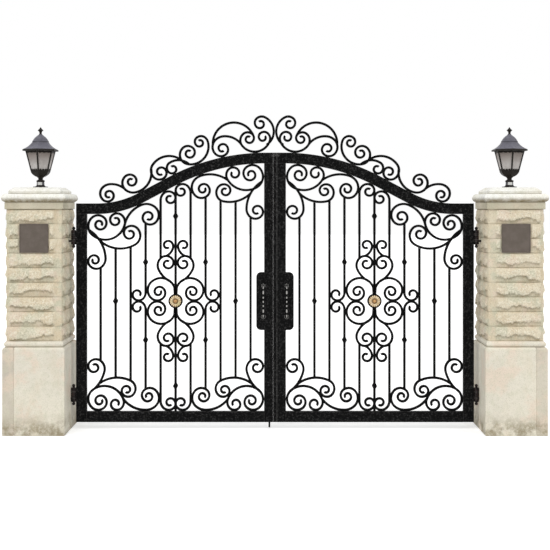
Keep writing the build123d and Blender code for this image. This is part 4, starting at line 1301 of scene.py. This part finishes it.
def drawn_tips_mesh(side):
    """Thin tails of the centre scrolls, drawn down beside the picket to the rosette."""
    node = f"{side}_leaf_rosettes"
    low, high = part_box(node)
    centre, reach = centre_of(node), (high.x - low.x) / 2
    start, steps = 0.130, 12
    end = reach - 0.006
    shape = bmesh.new()
    for across in (-1, 1):
        for up in (-1, 1):
            rings = []
            for part in (step / steps for step in range(steps + 1)):
                height = centre.z + up * (start + (end - start) * part)
                inner = centre.x + across * (HALF_BAR - 0.001)
                outer = centre.x + across * (0.0216 - 0.0036 * part)
                deep = HALF_BAR * (1 - 0.45 * part)
                corners = ((inner, -deep), (outer, -deep), (outer, deep), (inner, deep))
                rings.append([(x, y, height) for x, y in corners])
            skin(shape, rings)
    return closed_mesh(shape)


class GATES_OT_scrollwork(bpy.types.Operator):
    """Paint the scrolls and pickets of both leaves and ease their edges"""

    bl_idname = "gates.scrollwork"
    bl_label = "Scrolls and pickets"

    def execute(self, context):
        width = context.scene.gate_iron.bar_easing
        groups = ("top_scrolls", "bottom_scrolls", "centre_scrolls", "crest_scrolls", "pickets")
        slot, titles = "ironwork_paint", ("scroll",)
        for side in SIDES:
            body = f"{side}_leaf"
            for group in groups:
                node, name = f"{side}_leaf_{group}", f"{side}_forged_{group}"
                add_eased(node, name, body, slot, titles, width, limit=60)
            add_piece(f"{side}_drawn_scroll_tips", drawn_tips_mesh(side), body, titles)
        return {"FINISHED"}


def petal_ring_tree():
    """A ring of domed petals round an axis along Z, each with a groove down its middle."""
    net, given = new_tree(
        "Rosette petals",
        "GeometryNodeTree",
        (
            ("Petals", COUNT),
            ("Inner Radius", FLOAT),
            ("Outer Radius", FLOAT),
            ("Dome", FLOAT),
            ("Material", FINISH),
        ),
        (("Geometry", SHAPE),),
    )
    petals, inner, outer = given["Petals"], given["Inner Radius"], given["Outer Radius"]
    feeds = {"Size X": 1.0, "Size Y": 1.0, "Vertices X": 15, "Vertices Y": 11}
    grid = net.add("GeometryNodeMeshGrid", feeds)
    x, y, _ = net.parts(net.add("GeometryNodeInputPosition"))
    out, across = x + 0.5, y * 2.0
    edge = 1.0 - across * across
    radius = inner + (outer - inner) * (out - (1.0 - edge) * (out * 0.16))
    angle = across * (pi / petals) * 0.97
    side_dome = net.most(edge, 0.0) ** 0.5
    end_dome = net.math("SINE", 0.35 + out * 2.55)
    crown = side_dome * end_dome * abs(across).ramp(0.0, 0.22, 0.78, 1.0)
    cosine, sine = net.math("COSINE", angle), net.math("SINE", angle)
    placed = net.joined(radius * cosine, radius * sine, crown * given["Dome"])
    feeds = {"Geometry": net.stored(grid, "crown", crown), "Position": placed}
    petal = net.add("GeometryNodeSetPosition", feeds)
    turn = net.add("GeometryNodeInputIndex") * tau / petals
    feeds = {
        "Points": net.add("GeometryNodePoints", {"Count": petals}),
        "Instance": petal,
        "Rotation": net.joined(0, 0, turn),
    }
    net.give_shape(net.add("GeometryNodeInstanceOnPoints", feeds), given["Material"])
    return net.tree


def rosette_mesh(node, tree):
    """Petals on a dark disc round a ringed boss, on both faces of a leaf."""
    low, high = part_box(node)
    centre, reach, deep = centre_of(node), (high.x - low.x) / 2, high.y - HALF_BAR
    values = {
        "Petals": 16,
        "Inner Radius": reach * 0.37,
        "Outer Radius": reach * 0.83,
        "Dome": deep * 0.34,
        "Material": finish("gilt"),
    }
    shape = bmesh.new()
    add_copies(shape, grown(tree, values), [Matrix.Translation((0, 0, deep * 0.30))])
    crown = shape.verts.layers.float["crown"]
    # (share of the rosette's reach, share of its depth)
    disc = (
        (0, 0), (0.97, 0), (1, 0.14), (1, 0.42), (0.96, 0.52), (0.88, 0.52), (0.84, 0.42),
        (0.82, 0.28), (0, 0.28),
    )
    boss = (
        (0, 0.28), (0.34, 0.28), (0.36, 0.48), (0.33, 0.64), (0.27, 0.62), (0.235, 0.52),
        (0.21, 0.72), (0.15, 0.90), (0.07, 0.99), (0, 1),
    )
    for number, (outline, steps) in enumerate(((disc, 64), (boss, 40)), 1):
        before = set(shape.faces)
        profile = [(reach * out, deep * rise) for out, rise in outline]
        turned(shape, Vector((0, 0, 0)), profile, steps)
        for face in set(shape.faces) - before:
            face.material_index = number
            for vertex in face.verts:
                vertex[crown] = min(max((vertex.co.z / deep - 0.52) * 2, 0.0), 1.0)
    whole = bmesh.new()
    places = []
    for way in (1, -1):
        place = Matrix.Translation((centre.x, -way * HALF_BAR, centre.z))
        places.append(place @ Matrix.Rotation(way * pi / 2, 4, "X"))
    add_copies(whole, to_mesh(shape), places)
    return to_mesh(whole)


class GATES_OT_rosettes(bpy.types.Operator):
    """Make the gilt rosettes in the middle of each leaf"""

    bl_idname = "gates.rosettes"
    bl_label = "Rosettes"

    def execute(self, context):
        tree = petal_ring_tree()
        titles = ("gilt", "hardware", "button")
        for side in SIDES:
            node, name, body = f"{side}_leaf_rosettes", f"{side}_gilt_rosettes", f"{side}_leaf"
            add_piece(name, rosette_mesh(node, tree), body, titles, (node,), 60)
        return {"FINISHED"}


# ---- Hardware ------------------------------------------------------------------------

BARREL_RADIUS, BARREL_TALL, BALL_TALL = 0.024, 0.066, 0.0314


def solids_of(node):
    """Boxes of a node's separate solids, from the lowest up."""
    shape = merged_copy(node)
    left = set(shape.verts)
    boxes = []
    while left:
        group, front = set(), [left.pop()]
        while front:
            vertex = front.pop()
            group.add(vertex)
            near = {edge.other_vert(vertex) for edge in vertex.link_edges} & left
            left -= near
            front += near
        low, high = (
            Vector([pick(vertex.co[axis] for vertex in group) for axis in range(3)])
            for pick in (min, max)
        )
        boxes.append((low, high))
    shape.free()
    return sorted(boxes, key=lambda pair: pair[0].z)


def knuckle_profile(seat, way):
    """Half of a hinge from its running face outwards: ringed barrel, neck and ball."""
    # (share of the barrel's radius, height)
    outline = (
        (0, 0), (0.94, 0), (1, 0.0015), (1, 0.017), (0.93, 0.0185), (0.93, 0.0215),
        (1, 0.023), (1, 0.030), (0.93, 0.0315), (0.93, 0.0345), (1, 0.036), (1, 0.058),
        (0.96, 0.062), (0.84, 0.065), (0.62, BARREL_TALL + 0.0005),
    )
    profile = [(BARREL_RADIUS * out, rise) for out, rise in outline]
    ball, steps = (BALL_TALL - 0.001) / 2, 12
    top = BARREL_TALL + BALL_TALL
    for step in range(steps + 1):
        angle = radians(-62 + (84 + 62) * step / steps)
        profile.append((ball * cos(angle), top - ball + ball * sin(angle)))
    profile.append((0, top))
    return [(out, seat + way * rise) for out, rise in profile]


def hinge_mesh(node, way, axis_x, strap_way):
    """A leaf's or a pillar's halves of the hinges, each with its strap."""
    shape = bmesh.new()
    axis, pin = Vector((axis_x, 0, 0)), 0.009
    strap = (0.006, 0.060) if way > 0 else (0.024, 0.042)
    for low, high in solids_of(node):
        seat = low.z if way > 0 else low.z + BALL_TALL + BARREL_TALL
        before = set(shape.faces)
        turned(shape, axis, knuckle_profile(seat, way))
        for face in set(shape.faces) - before:
            middle = face.calc_center_median()
            in_groove = hypot(middle.x - axis_x, middle.y) < BARREL_RADIUS * 0.955
            ringed = 0.016 < (middle.z - seat) * way < 0.037
            face.material_index = int(in_groove and ringed)
        levels = sorted(seat + way * level for level in strap)
        ends = sorted((axis_x, low.x if strap_way < 0 else high.x))
        block(shape, (ends[0], -0.010, levels[0]), (ends[1], 0.010, levels[1]))
        if way < 0:
            turned(shape, axis, [(0, seat), (pin, seat), (pin, high.z), (0, high.z)], 24)
    bmesh.ops.recalc_face_normals(shape, faces=shape.faces)
    return to_mesh(shape)


class GATES_OT_hinges(bpy.types.Operator):
    """Turn the hinge barrels with their rings and ball ends"""

    bl_idname = "gates.hinges"
    bl_label = "Hinges"

    def execute(self, context):
        joints = {joint["name"]: joint for joint in frame["joints"]}
        slot, titles = "hardware_paint", ("hinge", "bright")
        for side, outward in (("left", -1), ("right", 1)):
            axis_x = joints[f"{side}_leaf_swing"]["pos_m"][0]
            for part, name, body, way in (
                ("leaf_hinge_barrels", "leaf_hinge_knuckles", f"{side}_leaf", 1),
                ("pillar_hinge_pintles", "pillar_hinge_knuckles", "pillars", -1),
            ):
                node = f"{side}_{part}"
                mesh = hinge_mesh(node, way, axis_x, -way * outward)
                piece = add_piece(f"{side}_{name}", mesh, body, titles, (node,))
                ease(piece, 0.0008, 60, edge_finish=1)
        return {"FINISHED"}


def grip_profile(low, high):
    """Long and short beads on a thin core, the same both ways from the middle."""
    middle, half = (low + high) / 2, (high - low) / 2
    core, steps = 0.0055, 12
    # (place as a share of half the grip, half of the bead's length, its radius)
    beads = [
        (0.0, 0.0115, 0.0105), (0.27, 0.0110, 0.0105), (0.60, 0.0185, 0.0125),
        (0.90, 0.0105, 0.0100),
    ]
    beads = [(-place, tall, wide) for place, tall, wide in reversed(beads[1:])] + beads
    profile = [(0, low), (core, low)]
    for place, tall, wide in beads:
        centre = middle + place * half
        for turn in (pi * step / steps for step in range(steps + 1)):
            profile.append((core + (wide - core) * sin(turn) ** 0.8, centre - tall * cos(turn)))
    return profile + [(core, high), (0, high)]


def round_bar(shape, points, radius, steps=12):
    """A round bar along points in the XZ plane, drawn thinner at its ends."""
    rings = []
    last = len(points) - 1
    back = Vector((0, 1, 0))
    for index, point in enumerate(points):
        ahead = Vector(points[min(index + 1, last)]) - Vector(points[max(index - 1, 0)])
        side = back.cross(ahead.normalized())
        reach = radius * (0.55 if index in (0, last) else 1.0)
        section = []
        for turn in (tau * step / steps for step in range(steps)):
            section.append(Vector(point) + (side * cos(turn) + back * sin(turn)) * reach)
        rings.append(section)
    skin(shape, rings)


def handle_mesh(low, high, plate, grip):
    """A pull handle that faces -Y: a flower mount above and a horseshoe mount below."""
    shape = bmesh.new()
    mount, petals = 0.024, 6
    top, bottom = high.z - mount, low.z + mount
    turned(shape, Vector((0, grip, 0)), grip_profile(bottom, top), 28)
    for number in range(petals):
        angle = tau * number / petals + pi / 6
        out = mount * 0.62
        place = Matrix.Translation((cos(angle) * out, plate - 0.003, top + sin(angle) * out))
        bmesh.ops.create_uvsphere(
            shape,
            u_segments=14,
            v_segments=8,
            radius=mount * 0.36,
            matrix=place @ Matrix.Diagonal((1, 0.62, 1, 1)),
        )
    rise = plate - grip
    for level, reach in ((top, 0.011), (bottom, 0.009)):
        stem = bmesh.new()
        profile = (
            (0, 0), (reach, 0), (reach, 0.004), (0.0075, 0.010), (0.0065, 0.018),
            (0.0065, rise - 0.004), (0.0085, rise), (0.0080, rise + 0.006),
            (0.004, rise + 0.009), (0, rise + 0.010),
        )
        turned(stem, Vector((0, 0, 0)), profile, 24)
        place = Matrix.Translation((0, plate, level)) @ Matrix.Rotation(pi / 2, 4, "X")
        add_copies(shape, to_mesh(stem), [place])
    shoe, steps, out = [], 24, mount * 0.80
    for step in range(steps + 1):
        angle = radians(125 + 290 * step / steps)
        shoe.append((cos(angle) * out, plate - 0.0042, bottom + sin(angle) * out))
    round_bar(shape, shoe, 0.0046)
    # Beads take the grip finish and the mounts the mount finish, both with the painted highlight.
    for face in shape.faces:
        centre = face.calc_center_median()
        from_grip = hypot(centre.x, centre.y - grip)
        on_grip = bottom < centre.z < top and from_grip < mount * 0.6
        face.material_index = int(from_grip > 0.0068) if on_grip else 2
    return to_mesh(shape)


class GATES_OT_handles(bpy.types.Operator):
    """Make the pull handles on both faces of each leaf"""

    bl_idname = "gates.handles"
    bl_label = "Pull handles"

    def execute(self, context):
        slot, titles = "hardware_paint", ("handle", "grip", "mount")
        for side in SIDES:
            node, name = f"{side}_leaf_pull_handles", f"{side}_beaded_handles"
            low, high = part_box(node)
            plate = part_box(f"{side}_leaf_lock_plates")[0].y
            one = handle_mesh(low, high, plate, low.y + 0.013)
            whole = bmesh.new()
            middle = Matrix.Translation((centre_of(node).x, 0, 0))
            add_copies(whole, one, [middle @ Matrix.Rotation(turn, 4, "Z") for turn in (0, pi)])
            bmesh.ops.recalc_face_normals(whole, faces=whole.faces)
            add_piece(name, to_mesh(whole), f"{side}_leaf", titles, (node,), 50)
        return {"FINISHED"}


class GATES_OT_plates_and_rod(bpy.types.Operator):
    """Paint the lock plates, the drop rod and its guides"""

    bl_idname = "gates.plates_and_rod"
    bl_label = "Lock plates and drop rod"

    def execute(self, context):
        slot, titles = "hardware_paint", ("frame", "worn")
        for node, name, body in (
            ("left_leaf_lock_plates", "left_lock_plate_pair", "left_leaf"),
            ("right_leaf_lock_plates", "right_lock_plate_pair", "right_leaf"),
            ("left_leaf_rod_guides", "drop_rod_guide_blocks", "left_leaf"),
            ("left_leaf_drop_rod", "drop_rod_with_tab", "drop_rod"),
        ):
            add_eased(node, name, body, slot, titles, 0.0012, edge_finish=1)
        return {"FINISHED"}


# ---- Stage ---------------------------------------------------------------------------


def floor_material(stage):
    """A matt floor that looks white to the eye and keeps the shadow."""
    coat = Coat("plain_floor")
    coat.set({"Base Color": stage.floor, "Roughness": 1, "Specular IOR Level": 0})
    coat.set({"Emission Color": (1, 1, 1), "Emission Strength": coat.seen() * 0.42})
    return coat.material


def studio_world(daylight):
    """Plain light from all around that looks white to the eye."""
    world = bpy.data.worlds.new("studio")
    world.use_nodes = True
    net = Net(world.node_tree)
    background = world.node_tree.nodes["Background"].inputs
    net.feed(background["Color"], (1, 1, 1))
    net.feed(background["Strength"], net.seen().ramp(0, 1, daylight, 1.0))
    return world


class GATES_OT_stage(bpy.types.Operator):
    """Set the floor, the light and the camera"""

    bl_idname = "gates.stage"
    bl_label = "Stage"

    def execute(self, context):
        scene = context.scene
        stage = scene.gate_stage
        shape = bmesh.new()
        bmesh.ops.create_grid(shape, x_segments=1, y_segments=1, size=60)
        floor = bpy.data.objects.new("floor", to_mesh(shape))
        floor.data.materials.append(floor_material(stage))
        scene.collection.objects.link(floor)
        scene.world = studio_world(stage.daylight)

        for name, place, power, spread in (
            ("key", (-2.0, -6.0, 7.0), stage.lamp, 20),
            ("left_side", (-6.0, -3.0, 5.0), stage.side_lamps, 40),
            ("right_side", (6.0, -3.0, 5.0), stage.side_lamps, 40),
        ):
            lamp = bpy.data.lights.new(name, "SUN")
            lamp.energy = power
            lamp.angle = radians(spread)
            holder = bpy.data.objects.new(name, lamp)
            holder.rotation_euler = Vector(place).to_track_quat("Z", "Y").to_euler()
            holder.location = place
            scene.collection.objects.link(holder)

        camera = bpy.data.cameras.new("eye")
        camera.lens = stage.lens
        camera.shift_y = -stage.drop
        holder = bpy.data.objects.new("eye", camera)
        holder.location = (0, -stage.distance, stage.eye)
        holder.rotation_euler = (pi / 2, 0, 0)
        scene.collection.objects.link(holder)
        scene.camera = holder
        scene.view_settings.view_transform = "Standard"
        return {"FINISHED"}


# ---- Panel and registration ----------------------------------------------------------


class GATES_PT_sidebar(bpy.types.Panel):
    """Settings and steps of the driveway gates"""

    bl_label = "Driveway gates"
    bl_idname = "GATES_PT_sidebar"
    bl_space_type = "VIEW_3D"
    bl_region_type = "UI"
    bl_category = "Gates"

    def draw(self, context):
        scene = context.scene
        for title, group in SETTINGS:
            box = self.layout.box()
            box.label(text=group.__doc__)
            settings = getattr(scene, title)
            for name in group.__annotations__:
                box.prop(settings, name)
        for operator in OPERATORS:
            self.layout.operator(operator.bl_idname)


SETTINGS = (
    ("gate_stone", StoneSettings),
    ("gate_iron", IronSettings),
    ("gate_lantern", LanternSettings),
    ("gate_stage", StageSettings),
)
OPERATORS = (
    GATES_OT_shafts,
    GATES_OT_dressed_stones,
    GATES_OT_plaques,
    GATES_OT_lanterns,
    GATES_OT_frames,
    GATES_OT_scrollwork,
    GATES_OT_rosettes,
    GATES_OT_hinges,
    GATES_OT_plates_and_rod,
    GATES_OT_handles,
    GATES_OT_stage,
)


def register():
    for title, group in SETTINGS:
        bpy.utils.register_class(group)
        setattr(bpy.types.Scene, title, PointerProperty(type=group))
    for item in (*OPERATORS, GATES_PT_sidebar):
        bpy.utils.register_class(item)


def unregister():
    for item in (GATES_PT_sidebar, *reversed(OPERATORS)):
        bpy.utils.unregister_class(item)
    for title, group in reversed(SETTINGS):
        delattr(bpy.types.Scene, title)
        bpy.utils.unregister_class(group)


def main():
    register()
    for operator in OPERATORS:
        group, name = operator.bl_idname.split(".")
        getattr(getattr(bpy.ops, group), name)()


if __name__ == "__main__":
    main()
